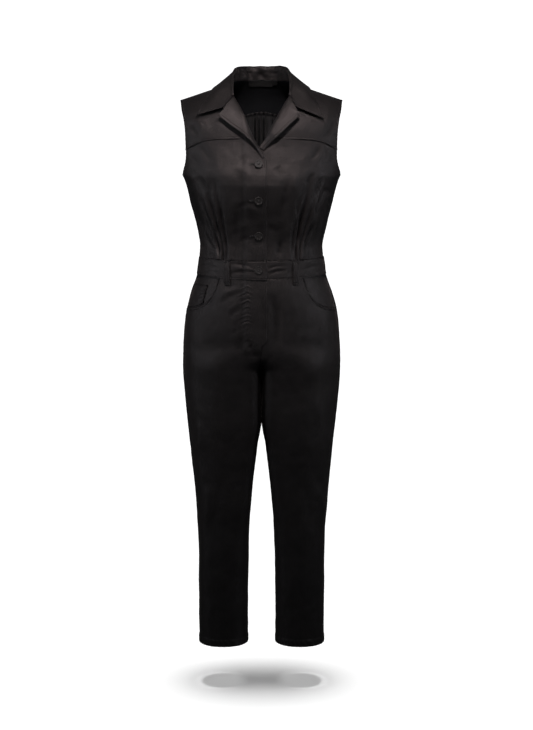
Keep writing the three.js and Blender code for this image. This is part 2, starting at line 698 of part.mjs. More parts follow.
// The waistband lies a little outside the panels that it joins.
function addWaistband(name, isBack, from, to, liftAt) {
  const columns = steps(Math.max(Math.round((to - from) / 9), 4), from, to);
  const surface = (angle, v) => {
    const side = angle < 0 ? -1 : 1;
    const height = waistHeight(angle, isBack) - seam / 2 - v * (bandHeight(angle, isBack) - seam);
    const across = acrossAt(Math.abs(angle), height);
    const point = bodyPoint(side, isBack, across, height);
    const out = new THREE.Vector3(point.x, point.y * 2.2, 0).normalize();
    return point.addScaledVector(out, bandStandOff + liftAt(point.x));
  };
  const grid = surfaceGrid([0, 0.5, 1], columns, surface, awayFromAxis);
  addPiece(name, shellGeometry(grid, bandCloth));
}

function addWaistbands() {
  const sideAngle = 90;
  const edgeAngle = angleAt(placketEdge, -400);
  const underAngle = angleAt(underEdge, -400);
  const raised = (x) => bandOverlap * ease((x + 46) / 18);
  addWaistband("right_front_waistband", false, -sideAngle, edgeAngle, raised);
  addWaistband("left_front_waistband", false, -underAngle, sideAngle, () => 0);
  addWaistband("back_waistband", true, -sideAngle, sideAngle, () => 0);
}

// How far the two legs have parted at a height, from 0 to 1.
function partedAt(height, isBack) {
  const { top, power } = isBack ? parting.back : parting.front;
  const share = clamp((top - height) / (top - crotch), 0, 1);
  return Math.pow(Math.sin((share * Math.PI) / 2), power);
}

// One leg's ring: its centre, radii and the angle of its inner edge.
function legRing(height, isBack) {
  if (height <= crotch) {
    const ring = readTable(legRings, "height", height);
    const centre = (ring.outer + ring.inner) / 2;
    return { ...ring, centre, radius: ring.outer - centre, innerAngle: -90 };
  }
  const ring = readTable(bodyRings, "height", height);
  const parted = partedAt(height, isBack);
  const centre = (ring.halfWidth * parted) / (1 + parted);
  const radius = ring.halfWidth - centre;
  const innerAngle = deg(Math.asin(clamp((seam / 2 - centre) / radius, -1, 1)));
  return { ...ring, centre, radius, innerAngle };
}

// A point of a leg panel's outer face, by its distance across from the centre of the body.
function legPointAt(side, isBack, across, height) {
  const ring = legRing(height, isBack);
  const share = clamp((Math.abs(across) - ring.centre) / ring.radius, -1, 1);
  const squarer = share < 0 ? lerp(1, innerFlatness, ease((height - innerRoundHeight) / innerFadeLength)) : 1;
  const flat = isBack ? ring.back : ring.front;
  const depth = Math.max(flat * ringDepth(share, ring.power * squarer), seam / 2);
  return new THREE.Vector3(side * across, isBack ? depth : -depth, height);
}

// The distance across at a share of a leg panel's width. It may start past the centre line.
function legAcross(height, share, isBack, extra) {
  const ring = legRing(height, isBack);
  const past = deg(Math.asin(clamp((-extra - ring.centre) / ring.radius, -1, 1)));
  const start = extra ? past : ring.innerAngle;
  return ring.centre + ring.radius * Math.sin(rad(lerp(start, 90, share)));
}

const legOutward = (side) => (p) => {
  const ring = legRing(p.z, p.y > 0);
  const centre = side * (p.z > crotch ? ring.centre * 0.6 : ring.centre);
  return new THREE.Vector3(p.x - centre, p.y, 0);
};

// Height of the pocket opening at a share of the front's width, or nothing inside of it.
function pocketHeight(share) {
  const atWaist = legAcross(-430, share);
  const across = atWaist * (1 + pocketFlare * ease((share - 0.5) / 0.5));
  return atWaist <= pocketCurve[0].across ? null : readTable(pocketCurve, "across", across).height;
}

// How far a front panel reaches past the centre inside the fly.
function flyReach(side, height) {
  const full = side < 0 ? placketEdge : 12;
  return full * ease((height - flyEnd + 14) / 14);
}

const joinHeight = -525; // above it the rows of a leg follow its top edge
const legHeights = [
  -548, -570, -588, -603, -616, -628, -640, -652, -685, -740,
  -775, -800, -830, -880, -940, -1010, -1100, -1200,
];
const hemHeights = [hem + hemTurn + 1, hem + hemTurn - 1, hem];

// A leg panel from its top edge down to the turned hem.
function addLeg(name, side, isBack, columns, upper, topAt, placeAt) {
  const count = upper + legHeights.length + hemHeights.length;
  const surface = (u, v) => {
    const top = steps(upper - 1).map((share) => lerp(topAt(u), joinHeight, share));
    const height = [...top, ...legHeights, ...hemHeights][Math.round(v)];
    const { point, raised } = placeAt(u, height);
    const out = legOutward(side)(point).normalize();
    return point.addScaledVector(out, raised + (height < hem + hemTurn ? hemSwell : 0));
  };
  const grid = surfaceGrid(steps(count - 1, 0, count - 1), columns, surface, legOutward(side));
  const turned = cloth + hemSwell + 0.6;
  addPiece(name, shellGeometry(grid, (row) => (row >= count - 2 ? turned : cloth)));
}

function addFrontLeg(side) {
  const topAt = (u) => {
    const bandSeam = bandSeamHeight(legAcross(-430, u), false, 1.5 * seam);
    return Math.min(bandSeam, pocketHeight(u) ?? bandSeam);
  };
  const placeAt = (u, height) => {
    const across = legAcross(height, u, false, flyReach(side, height));
    const raised = overlapLift(side, across) * ease((height - flyEnd + 34) / 14);
    return { point: legPointAt(side, false, across, height), raised };
  };
  addLeg(`${sideName(side)}_front_leg`, side, false, crowdedSteps(0.4, 0.78, 4, 8, 3), 4, topAt, placeAt);
}

function addBackLeg(side) {
  const topAt = (u) => bandSeamHeight(legAcross(-420, u, true), true, seam);
  const placeAt = (u, height) => ({
    point: legPointAt(side, true, legAcross(height, u, true), height),
    raised: 0,
  });
  addLeg(`${sideName(side)}_back_leg`, side, true, steps(11), 5, topAt, placeAt);
}

// The pocket facing fills the opening from behind the front panel.
function addPocketFacing(side) {
  const surface = (u, v) => {
    const top = bandSeamHeight(legAcross(-430, u), false, 3 * seam);
    const bottom = (pocketHeight(u) ?? top) - 16;
    const height = lerp(top, bottom, v);
    const point = legPointAt(side, false, legAcross(height, u, false), height);
    return point.addScaledVector(legOutward(side)(point).normalize(), -facingDepth);
  };
  const grid = surfaceGrid(steps(5), steps(7, facingFrom, 1), surface, legOutward(side));
  addPiece(`${sideName(side)}_pocket_facing`, shellGeometry(grid, cloth));
}

// The coin pocket is a patch on the facing, seen as far as the edge of the opening.
function addCoinPocket() {
  const surface = (u, v) => {
    const height = lerp(coinPocket.top, pocketHeight(u) + 0.8, v);
    const point = legPointAt(-1, false, legAcross(height, u), height);
    const off = coinPocket.wall + coinPocket.off - facingDepth;
    return point.addScaledVector(legOutward(-1)(point).normalize(), off);
  };
  const grid = surfaceGrid(steps(3), steps(6, coinPocket.from, coinPocket.to), surface, legOutward(-1));
  addPiece("coin_pocket", shellGeometry(grid, coinPocket.wall));
}

function addBeltLoop({ name, side, isBack, angle }) {
  const centre = acrossAt(angle, -402);
  const surface = (u, v) => {
    const { down, off } = readTable(loopProfile, "down", v * loopProfile.at(-1).down);
    const across = centre + u * loopHalfWidth;
    const point = bodyPoint(across < 0 ? -side : side, isBack, Math.abs(across), loopTop - down);
    const middle = bodyPoint(side, isBack, centre, loopTop - down);
    const out = new THREE.Vector3(middle.x * 0.9, middle.y * 1.6, 0).normalize();
    return point.addScaledVector(out, off);
  };
  const rows = loopProfile.map((row) => row.down / loopProfile.at(-1).down);
  const grid = surfaceGrid(rows, [-1, 0, 1], surface, awayFromAxis);
  addPiece(`${name}_belt_loop`, shellGeometry(grid, cloth));
}

// One button, a dished disc with a raised rim and four holes, standing on +Z.
function buttonSolid() {
  const outline = buttonProfile.map((row) => new THREE.Vector2(row.radius, row.height)).reverse();
  let solid = toSolid(mergeVertices(new THREE.LatheGeometry(outline, 20).rotateX(Math.PI / 2), 1e-4));
  for (const turn of steps(3, 45, 315)) {
    const hole = wasm.Manifold.cylinder(8, buttonHole.radius, buttonHole.radius, 8, true);
    const x = buttonHole.offset * Math.cos(rad(turn));
    const y = buttonHole.offset * Math.sin(rad(turn));
    solid = solid.subtract(hole.translate([x, y, 0]));
  }
  return solid;
}

function toSolid(geometry) {
  const mesh = new wasm.Mesh({
    numProp: 3,
    vertProperties: new Float32Array(geometry.getAttribute("position").array),
    triVerts: new Uint32Array(geometry.index.array),
  });
  mesh.merge();
  return new wasm.Manifold(mesh);
}

function toGeometry(solid) {
  const mesh = solid.getMesh();
  const geometry = new THREE.BufferGeometry();
  geometry.setAttribute("position", new THREE.BufferAttribute(mesh.vertProperties, 3));
  geometry.setIndex(new THREE.BufferAttribute(mesh.triVerts, 1));
  geometry.computeVertexNormals();
  return geometry;
}

// Buttons face out from the right front, or from the waistband for the lowest one.
function addButton(height, number) {
  const onBand = height < waistSide - waistDip;
  const off = onBand ? bandOverlap + bandStandOff + seam : placketLift + 0.4;
  const surface = (across, h) => bodyPoint(-1, false, across, h);
  const normal = normalOf(surface, -buttonLine, height, 6, 6, awayFromAxis);
  const place = surface(-buttonLine, height).addScaledVector(normal, off);
  const turn = new THREE.Quaternion().setFromUnitVectors(new THREE.Vector3(0, 0, 1), normal);
  const geometry = toGeometry(buttonSolid()).applyQuaternion(turn).translate(place.x, place.y, place.z);
  addPiece(`button_${number}`, geometry, buttonBlack);
}

// Flat labels hang inside the back neck from the collar seam.
function addLabel(name, label) {
  const surface = (across, v) => {
    const side = across < 0 ? -1 : 1;
    const out = Math.abs(across);
    const height = backNeckHeight(angleAt(out, 0)) - label.top - v * label.drop;
    const cloak = (a, h) => bodyPoint(side, true, a, h);
    const normal = normalOf(cloak, Math.max(out, 1), height, 1, 1, awayFromAxis);
    return cloak(out, height).addScaledVector(normal, -cloth - 0.7);
  };
  const columns = steps(Math.max(Math.round((label.to - label.from) / 10), 2), label.from, label.to);
  const grid = surfaceGrid([0, 0.5, 1], columns, surface, awayFromAxis);
  addPiece(name, shellGeometry(grid, label.wall), labelBlack);
}

addLowerFront(-1);
addLowerFront(1);
addFrontYoke(-1);
addFrontYoke(1);
addBackYoke();
addBack();
addLapel(-1);
addLapel(1);
addCollar();
addWaistbands();
addFrontLeg(-1);
addFrontLeg(1);
addBackLeg(-1);
addBackLeg(1);
addPocketFacing(-1);
addPocketFacing(1);
addCoinPocket();
beltLoops.forEach(addBeltLoop);
buttonHeights.forEach((height, i) => addButton(height, i + 1));
addLabel("neck_label", neckLabel);
addLabel("size_tab", sizeTab);

export default garment;
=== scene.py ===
import json
import math

import bmesh
import bpy
import numpy as np
from mathutils import Matrix, Vector, noise
from mathutils.bvhtree import BVHTree

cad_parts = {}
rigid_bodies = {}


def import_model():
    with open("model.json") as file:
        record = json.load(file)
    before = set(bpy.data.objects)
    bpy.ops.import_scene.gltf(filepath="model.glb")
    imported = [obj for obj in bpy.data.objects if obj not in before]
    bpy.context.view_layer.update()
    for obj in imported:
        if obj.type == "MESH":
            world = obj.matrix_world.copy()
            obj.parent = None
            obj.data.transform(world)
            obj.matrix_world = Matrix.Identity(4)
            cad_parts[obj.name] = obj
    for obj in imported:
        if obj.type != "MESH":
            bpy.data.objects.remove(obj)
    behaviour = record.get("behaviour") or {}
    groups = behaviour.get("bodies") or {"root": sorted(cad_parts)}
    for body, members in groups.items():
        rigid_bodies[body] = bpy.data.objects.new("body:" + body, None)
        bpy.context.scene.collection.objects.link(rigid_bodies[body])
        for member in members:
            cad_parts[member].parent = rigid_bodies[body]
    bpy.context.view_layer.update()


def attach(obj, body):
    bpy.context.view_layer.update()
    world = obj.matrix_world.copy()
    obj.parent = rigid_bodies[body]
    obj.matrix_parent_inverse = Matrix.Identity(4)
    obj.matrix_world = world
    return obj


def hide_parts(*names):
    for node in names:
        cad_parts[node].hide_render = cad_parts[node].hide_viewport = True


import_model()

mm = 0.001  # the tables below are in millimetres, as the garment was cut

# Driving sizes, the same as the solids'
seam = 0.3
chestLevel = -100
capRise = 126
ridgeDepth = 8
shoulderTop = 26
shoulderFall = 0.335
neckHalfWidth = 65
underarm = -190
waistSide = -378
waistDip = 2.5
waistbandHeight = 39
bandDip = 4.5
backRise = 3
crotch = -640
hem = -1307
hemTurn = 18
placketEdge = 12
underEdge = 20
placketLift = 2.3
flyEnd = -566
lapelHover = 12.5
buttonLine = -6
frontPower = 1.7
backPower = 2
facingDepth = 2.2
clothWall = 1.0


def table(columns, rows):
    data = np.array(rows, float)
    data = data[np.argsort(data[:, 0])]
    keys = data[:, 0:1]
    slopes = np.empty_like(data)
    slopes[0] = (data[1] - data[0]) / (keys[1] - keys[0])
    slopes[-1] = (data[-1] - data[-2]) / (keys[-1] - keys[-2])
    slopes[1:-1] = (data[2:] - data[:-2]) / (keys[2:] - keys[:-2])
    return {"columns": columns.split(), "rows": data, "slopes": slopes}


# Reads a table at values of its first column, on a smooth curve through its rows
def read(source, at):
    rows, slopes = source["rows"], source["slopes"]
    keys = rows[:, 0]
    at = np.clip(np.asarray(at, float), keys[0], keys[-1])
    i = np.clip(np.searchsorted(keys, at, side="right") - 1, 0, len(keys) - 2)
    span = keys[i + 1] - keys[i]
    t = (at - keys[i]) / span
    found = {}
    for c, column in enumerate(source["columns"]):
        a, b = rows[i, c], rows[i + 1, c]
        m0, m1 = slopes[i, c] * span, slopes[i + 1, c] * span
        found[column] = ((2 * t**3 - 3 * t**2 + 1) * a + (t**3 - 2 * t**2 + t) * m0
                         + (3 * t**2 - 2 * t**3) * b + (t**3 - t**2) * m1)
    return found


bodyRings = table("height halfWidth front back power", [
    (26, 200, 98, 92, 2.3),
    (-60, 200, 98, 92, 2.3),
    (-100, 197, 98, 92, 2.3),
    (-120, 194, 101, 94, 2.3),
    (-158, 187, 111, 97, 2.3),
    (-187, 184, 119, 98, 2.3),
    (-199, 179, 120.6, 97.5, 2.3),
    (-214, 174, 121, 97, 2.25),
    (-251, 165.5, 115, 93, 2.2),
    (-288, 155.7, 106, 88, 2.15),
    (-325, 147, 99, 84, 2.1),
    (-350, 143.2, 97, 83, 2.1),
    (-382, 146, 98, 86, 2.1),
    (-419, 151.5, 101, 95, 2.1),
    (-457, 164.5, 105, 104, 2.15),
    (-495, 175, 107, 114, 2.2),
    (-532, 181, 107.5, 121, 2.2),
    (-570, 184, 106, 123.5, 2.2),
    (-605, 185.4, 102, 121, 2.2),
    (-640, 186, 97.5, 116.5, 2.15),
    (-665, 184.8, 94.5, 112.5, 2.1),
])
legRings = table("height outer inner front back power", [
    (-605, 185.4, 0, 102, 121, 2.2),
    (-640, 186, 0, 97.5, 116.5, 2.15),
    (-665, 184.8, -0.4, 94.5, 112.5, 2.1),
    (-705, 181.7, -0.6, 91, 106, 2.1),
    (-765, 175.8, -0.3, 85.5, 97.5, 2.1),
    (-790, 173.4, 3.2, 83, 94.5, 2.1),
    (-815, 170.8, 8.2, 80.5, 91.5, 2.1),
    (-840, 168, 11.2, 78, 88, 2.1),
    (-900, 161.7, 18.3, 73, 82, 2.1),
    (-956, 157.2, 24, 70, 77, 2.1),
    (-1015, 153, 28.9, 67, 73, 2.1),
    (-1074, 151.4, 30.8, 65, 70, 2.1),
    (-1153, 151.1, 32.6, 62, 67, 2.1),
    (-1307, 150.6, 33.2, 58, 62, 2.1),
])
innerFlatness = 2.2  # the legs touch near the crotch, so their sections are squarer on the inner side
innerRoundHeight = -1150
innerFadeLength = 350
parting = {False: {"top": -560, "power": 2.6}, True: {"top": -500, "power": 2.6}}
frontYokeSeam = table("angle height", [
    (-10, -105), (16, -105.5), (35, -108), (44, -112.5), (56, -124), (64, -133)])
backYokeSeam = table("angle height", [(0, -74), (40, -76), (62, -82)])
armholeEdge = table("height angle", [
    (-190, 90), (-186, 83.5), (-177, 77.5), (-165, 71.6), (-150, 67.2), (-131, 64.6), (-107, 62.5),
    (-81, 61.9),
    (-58, 63.2), (-31, 66.6), (26, 70.4),
])
neckEdge = {
    -1: table("height across", [
        (-150, -placketEdge), (-125, 4.5), (-101, 18), (-60, 40), (-31, 62), (26, neckHalfWidth)]),
    1: table("height across", [
        (-156, -underEdge), (-125, -5), (-101, 11), (-60, 39), (-31, 62), (26, neckHalfWidth)]),
}
lapelFold = {
    -1: table("at across height", [
        (0, -6, -146), (0.2, 5.5, -125), (0.4, 19, -99), (0.72, 41, -47), (1, 62.5, -10)]),
    1: table("at across height", [(0, -0.5, -127), (0.25, 11.5, -99), (0.68, 40, -47), (1, 63, -9)]),
}
lapelEdge = {
    -1: table("at across height", [
        (0, -2, -150), (0.2, 14, -124), (0.4, 33, -101), (0.72, 68, -77), (1, 95, -57.5)]),
    1: table("at across height", [(0, 6, -131), (0.25, 27, -109), (0.68, 60.5, -78), (1, 84.5, -57.5)]),
}
notchAt = {-1: 0.64, 1: 0.62}
collarHover = {"back": 3.4, "front": 9.5}
collarRoll = table("at x y z", [
    (0, 0, 59, 65),
    (0.2, 34, 55, 65.3),
    (0.35, 53.5, 39, 62.5),
    (0.5, 61.5, 12, 53.5),
    (0.65, 64, -18, 34.5),
    (0.82, 64, -43, 13),
    (1, 63.4, -58.5, -5.5),
])
collarBackEdge = table("at across height", [(0, 0, 18), (0.2, 45, 14), (0.35, 78, 8), (0.5, 110, 8.5)])
collarFrontEdge = {
    -1: table("at across height", [(0.5, 110, 8.5), (0.65, 121, -8), (0.82, 133, -31), (1, 146, -56)]),
    1: table("at across height", [(0.5, 110, 8.5), (0.65, 119, -9), (0.82, 129, -34), (1, 139, -62.5)]),
}
frontTucks = {
    -1: [(34.2, 37.5, -176, 3.6), (37, 50, -183, 4.2), (41, 56, -230, 2.2)],
    1: [(29.8, 32, -225, 1.8), (33, 39.5, -176, 4.2), (36.6, 50, -183, 3.2)],
}  # waist angle, top angle, reach, depth
backTucks = [(26, 24, -230, 2.4), (31, 34, -240, 2.4)]
backGathers = {"count": 10, "halfSpan": 52, "depth": 2, "fade": 130}
pocketCurve = table("across height", [
    (101.5, -424), (104.5, -443), (110, -462), (118, -475.5), (130, -484.5), (147, -490), (168, -494),
    (178, -495.5),
])
coinPocket = {"from": 0.575, "to": 0.97, "top": -438.5, "wall": 1, "off": 0.6}


def lerp(a, b, t):
    return a + (b - a) * t


def ease(t):
    t = np.clip(t, 0, 1)
    return t * t * (3 - 2 * t)


def ringDepth(share, power):
    return np.maximum(1 - np.abs(share) ** power, 0) ** (1 / power)


def ridgeHeight(across, back):
    x = np.abs(across)
    slope = shoulderTop - shoulderFall * (x - 62)
    nape = 37 * np.maximum(1 - (x / 72) ** 2, 0) ** 2 if back else 0
    return np.minimum(slope, shoulderTop) + nape


# A point of the bodice's outer face; height runs along the cloth above the chest level
def bodyPoint(side, back, across, height):
    side, across, height = np.broadcast_arrays(np.asarray(side, float), across, height)
    ring = read(bodyRings, height)
    facing = 1 if back else -1
    flat = ring["back"] if back else ring["front"]
    depth = facing * np.maximum(flat * ringDepth(across / ring["halfWidth"], ring["power"]), seam / 2)
    curve = np.radians(np.clip((height - chestLevel) / capRise * 90, 0, 90))
    power = backPower if back else frontPower
    rise, lean = np.sin(curve) ** (2 / power), np.maximum(np.cos(curve), 0) ** (2 / power)
    above = height > chestLevel
    leaning = ridgeDepth + facing * np.maximum(np.abs(depth - ridgeDepth) * lean, seam / 2)
    y = np.where(above, leaning, depth)
    z = np.where(above, chestLevel + (ridgeHeight(across, back) - chestLevel) * rise, height)
    return np.stack([side * across, y, z], -1)


def clothHeight(back, across, z):
    share = np.clip((z - chestLevel) / (ridgeHeight(across, back) - chestLevel), 0, 1)
    power = backPower if back else frontPower
    climb = capRise * np.degrees(np.arcsin(share ** (power / 2))) / 90
    return np.where(z <= chestLevel, z, chestLevel + climb)


def halfWidthAt(height):
    return read(bodyRings, height)["halfWidth"]


def acrossAt(angle, height):
    return halfWidthAt(height) * np.sin(np.radians(angle))


def angleAt(across, height):
    return np.degrees(np.arcsin(np.clip(across / halfWidthAt(height), -1, 1)))


def unit(v):
    return v / np.maximum(np.linalg.norm(v, axis=-1, keepdims=True), 1e-9)


def awayFromAxis(p):
    up = np.where(p[..., 2] > chestLevel, (p[..., 2] - chestLevel) * 0.6, 0)
    return np.stack([p[..., 0] * 0.4, p[..., 1], up], -1)


# The outward direction at each point of a grid of points
def gridNormals(points, outward):
    n = unit(np.cross(np.gradient(points, axis=1), np.gradient(points, axis=0)))
    flip = (n * outward).sum(-1) < 0
    n[flip] *= -1
    return n


def surfaceNormal(surface, a, b, step=1.0):
    p = surface(a, b)
    alongA = surface(a + step, b) - surface(a - step, b)
    alongB = surface(a, b + step) - surface(a, b - step)
    n = unit(np.cross(alongA, alongB))
    return np.where(((n * awayFromAxis(p)).sum(-1) < 0)[..., None], -n, n)


def overBody(side, back, across, z, hover):
    height = clothHeight(back, across, z)

    def surface(a, h):
        return bodyPoint(side, back, a, h)

    low = np.minimum(height, chestLevel + capRise - 4)
    return surface(across, height) + surfaceNormal(surface, across, low) * np.asarray(hover)[..., None]


def tuckOffset(tucks, angle, height):
    offset = 0
    for waist, top, reach, depth in tucks:
        climb = np.clip((height - waistSide) / (reach - waistSide), 0, 1)
        centre, width = lerp(waist, top, climb), lerp(1.5, 3.4, climb)
        fade = 1 - ease((climb - 0.45) / 0.55)
        off = (angle - centre) / width
        valley = np.exp(-(off**2))
        swell = 0.42 * np.exp(-(((off - 3.4) / 2.6) ** 2)) + 0.3 * np.exp(-(((off + 3) / 2.2) ** 2))
        pit = 0.5 * np.exp(-(((climb - 0.86) / 0.12) ** 2)) * np.exp(-((off / 1.6) ** 2))
        offset = offset + 1.35 * depth * (fade * (swell - valley) - pit)
    return offset


# Creases seen from the front: from x, z to x, z, how deep (below 0 stands proud) and how wide
def creaseOffset(points, creases):
    offset = np.zeros(points.shape[:-1])
    x, z = points[..., 0], points[..., 2]
    for x0, z0, x1, z1, depth, width in creases:
        length = math.hypot(x1 - x0, z1 - z0)
        along = ((x - x0) * (x1 - x0) + (z - z0) * (z1 - z0)) / length
        off = ((x - x0) * (z1 - z0) - (z - z0) * (x1 - x0)) / length
        off = off + 0.06 * length * np.sin(np.pi * np.clip(along / length, 0, 1))
        taper = ease((along + 4) / (0.3 * length + 4)) * ease((length + 4 - along) / (0.45 * length + 4))
        offset -= depth * taper * np.exp(-((off / width) ** 2))
    return offset


# Slow, uneven waves of the cloth itself
def waver(points, amount, scale, seed):
    flat = points.reshape(-1, 3) / scale
    shift = Vector((seed * 7.3, seed * 3.1, seed * 5.7))
    return amount * np.array([noise.noise(Vector(p) + shift) for p in flat]).reshape(points.shape[:-1])


# Small ripples that a line of stitching draws up beside it
def pucker(distance, along, depth, reach, pitch=7.0):
    uneven = np.sin(along * 0.031) * 2.1 + np.sin(along * 0.083) * 0.9
    return depth * np.exp(-np.maximum(distance, 0) / reach) * np.sin(along * 2 * np.pi / pitch + uneven)


def overlapLift(side, across):
    return placketLift * ease((46 - across) / 16) if side < 0 else np.zeros_like(across)


def waistHeight(angle, back):
    return waistSide - (-backRise if back else waistDip) * np.cos(np.radians(angle)) ** 2


def bandHeight(angle, back):
    return waistbandHeight + (0 if back else bandDip) * np.cos(np.radians(angle)) ** 2


# Rows that run on past a seam and dive under the neighbour; each is how far past, and how deep
underBand = [(0.5, -0.9), (1.8, -2.3), (4, -2.5)]
underYoke = [(0.4, -0.7), (1.4, -1.7), (3.4, -1.8)]


def runUnder(height, low=(), high=(), reach=1.0):
    rows, dives = [height], [np.zeros_like(height)]
    for past, dive in high:
        rows.append(height[-1:] + past * reach)
        dives.append(np.full_like(height[-1:], dive))
    for past, dive in low:
        rows.insert(0, height[:1] - past)
        dives.insert(0, np.full_like(height[:1], dive))
    return np.concatenate(rows), np.concatenate(dives)


def repeatRows(a, low, high):
    return np.concatenate([np.repeat(a[:1], len(low), 0), a, np.repeat(a[-1:], len(high), 0)])


# How far each point of a grid lies from one of its edges, along the cloth
def edgeDistance(points, edge, skip=0):
    axis = 0 if edge in ("bottom", "top") else 1
    grid = points if edge in ("bottom", "left") else np.flip(points, axis)
    run = np.linalg.norm(np.diff(grid, axis=axis), axis=-1)
    start = np.zeros_like(run.take([0], axis))
    distance = np.concatenate([start, np.cumsum(run, axis)], axis)
    distance = distance - distance.take([skip], axis)
    return distance if edge in ("bottom", "left") else np.flip(distance, axis)


# The pressed line of a row of stitches, with the cloth swelling a little beside it
def stitchGroove(distance, inset, depth=0.4):
    off = distance - inset
    return depth * (0.55 * np.exp(-(((off + 2.4) / 1.7) ** 2)) + 0.3 * np.exp(-(((off - 2.4) / 1.9) ** 2))
                    - np.exp(-((off / 0.85) ** 2)))


# The points and directions of a line that keeps one distance from an edge
def lineAlong(points, normals, edge, inset, skip=0):
    distance = edgeDistance(points, edge, skip)
    if edge in ("left", "right"):
        points, normals, distance = (np.swapaxes(a, 0, 1) for a in (points, normals, distance))
    path, directions = [], []
    for column in range(points.shape[1]):
        d = distance[:, column]
        i = int(np.argmin(np.abs(d - inset)))
        j = min(max(i + (1 if (d[i] < inset) == (d[-1] > d[0]) else -1), 0), len(d) - 1)
        t = 0 if i == j or d[i] == d[j] else (inset - d[i]) / (d[j] - d[i])
        path.append(lerp(points[i, column], points[j, column], float(np.clip(t, 0, 1))))
        directions.append(normals[i, column])
    return np.array(path), np.array(directions)


# Materials

def mathNode(nodes, links, operation, a, b):
    node = nodes.new("ShaderNodeMath")
    node.operation = operation
    for socket, value in zip(node.inputs, (a, b)):
        if isinstance(value, (int, float)):
            socket.default_value = value
        else:
            links.new(value, socket)
    return node.outputs[0]


# Sateen: long floating yarns in one direction, a finer set across, and slubs
def makeWeave():
    group = bpy.data.node_groups.new("sateenWeave", "ShaderNodeTree")
    group.interface.new_socket("Vector", in_out="INPUT", socket_type="NodeSocketVector")
    group.interface.new_socket("Height", in_out="OUTPUT", socket_type="NodeSocketFloat")
    group.interface.new_socket("Tone", in_out="OUTPUT", socket_type="NodeSocketFloat")
    nodes, links = group.nodes, group.links
    source, result = nodes.new("NodeGroupInput"), nodes.new("NodeGroupOutput")
    yarns = []
    for turn, pitch in ((63, 0.00055), (-27, 0.0004)):
        place = nodes.new("ShaderNodeMapping")
        place.inputs["Rotation"].default_value = (0, 0, math.radians(turn))
        links.new(source.outputs["Vector"], place.inputs["Vector"])
        wave = nodes.new("ShaderNodeTexWave")
        wave.inputs["Scale"].default_value = 2 * math.pi / pitch / 20
        wave.inputs["Distortion"].default_value = 1.2
        wave.inputs["Detail"].default_value = 1
        wave.inputs["Detail Scale"].default_value = 0.6
        links.new(place.outputs["Vector"], wave.inputs["Vector"])
        yarns.append(wave.outputs["Fac"])
    slub = nodes.new("ShaderNodeTexNoise")
    slub.inputs["Scale"].default_value = 900
    slub.inputs["Detail"].default_value = 3
    stretch = nodes.new("ShaderNodeMapping")
    stretch.inputs["Scale"].default_value = (1, 0.22, 1)
    links.new(source.outputs["Vector"], stretch.inputs["Vector"])
    links.new(stretch.outputs["Vector"], slub.inputs["Vector"])
    both = mathNode(nodes, links, "ADD", mathNode(nodes, links, "MULTIPLY", yarns[0], 0.65),
                    mathNode(nodes, links, "MULTIPLY", yarns[1], 0.35))
    slubs = mathNode(nodes, links, "MULTIPLY", slub.outputs["Fac"], 0.7)
    height = mathNode(nodes, links, "ADD", both, slubs)
    links.new(height, result.inputs["Height"])
    links.new(slub.outputs["Fac"], result.inputs["Tone"])
    return group


weave = makeWeave()


def newMaterial(name):
    material = bpy.data.materials.new(name)
    material.use_nodes = True
    return material, material.node_tree.nodes, material.node_tree.links


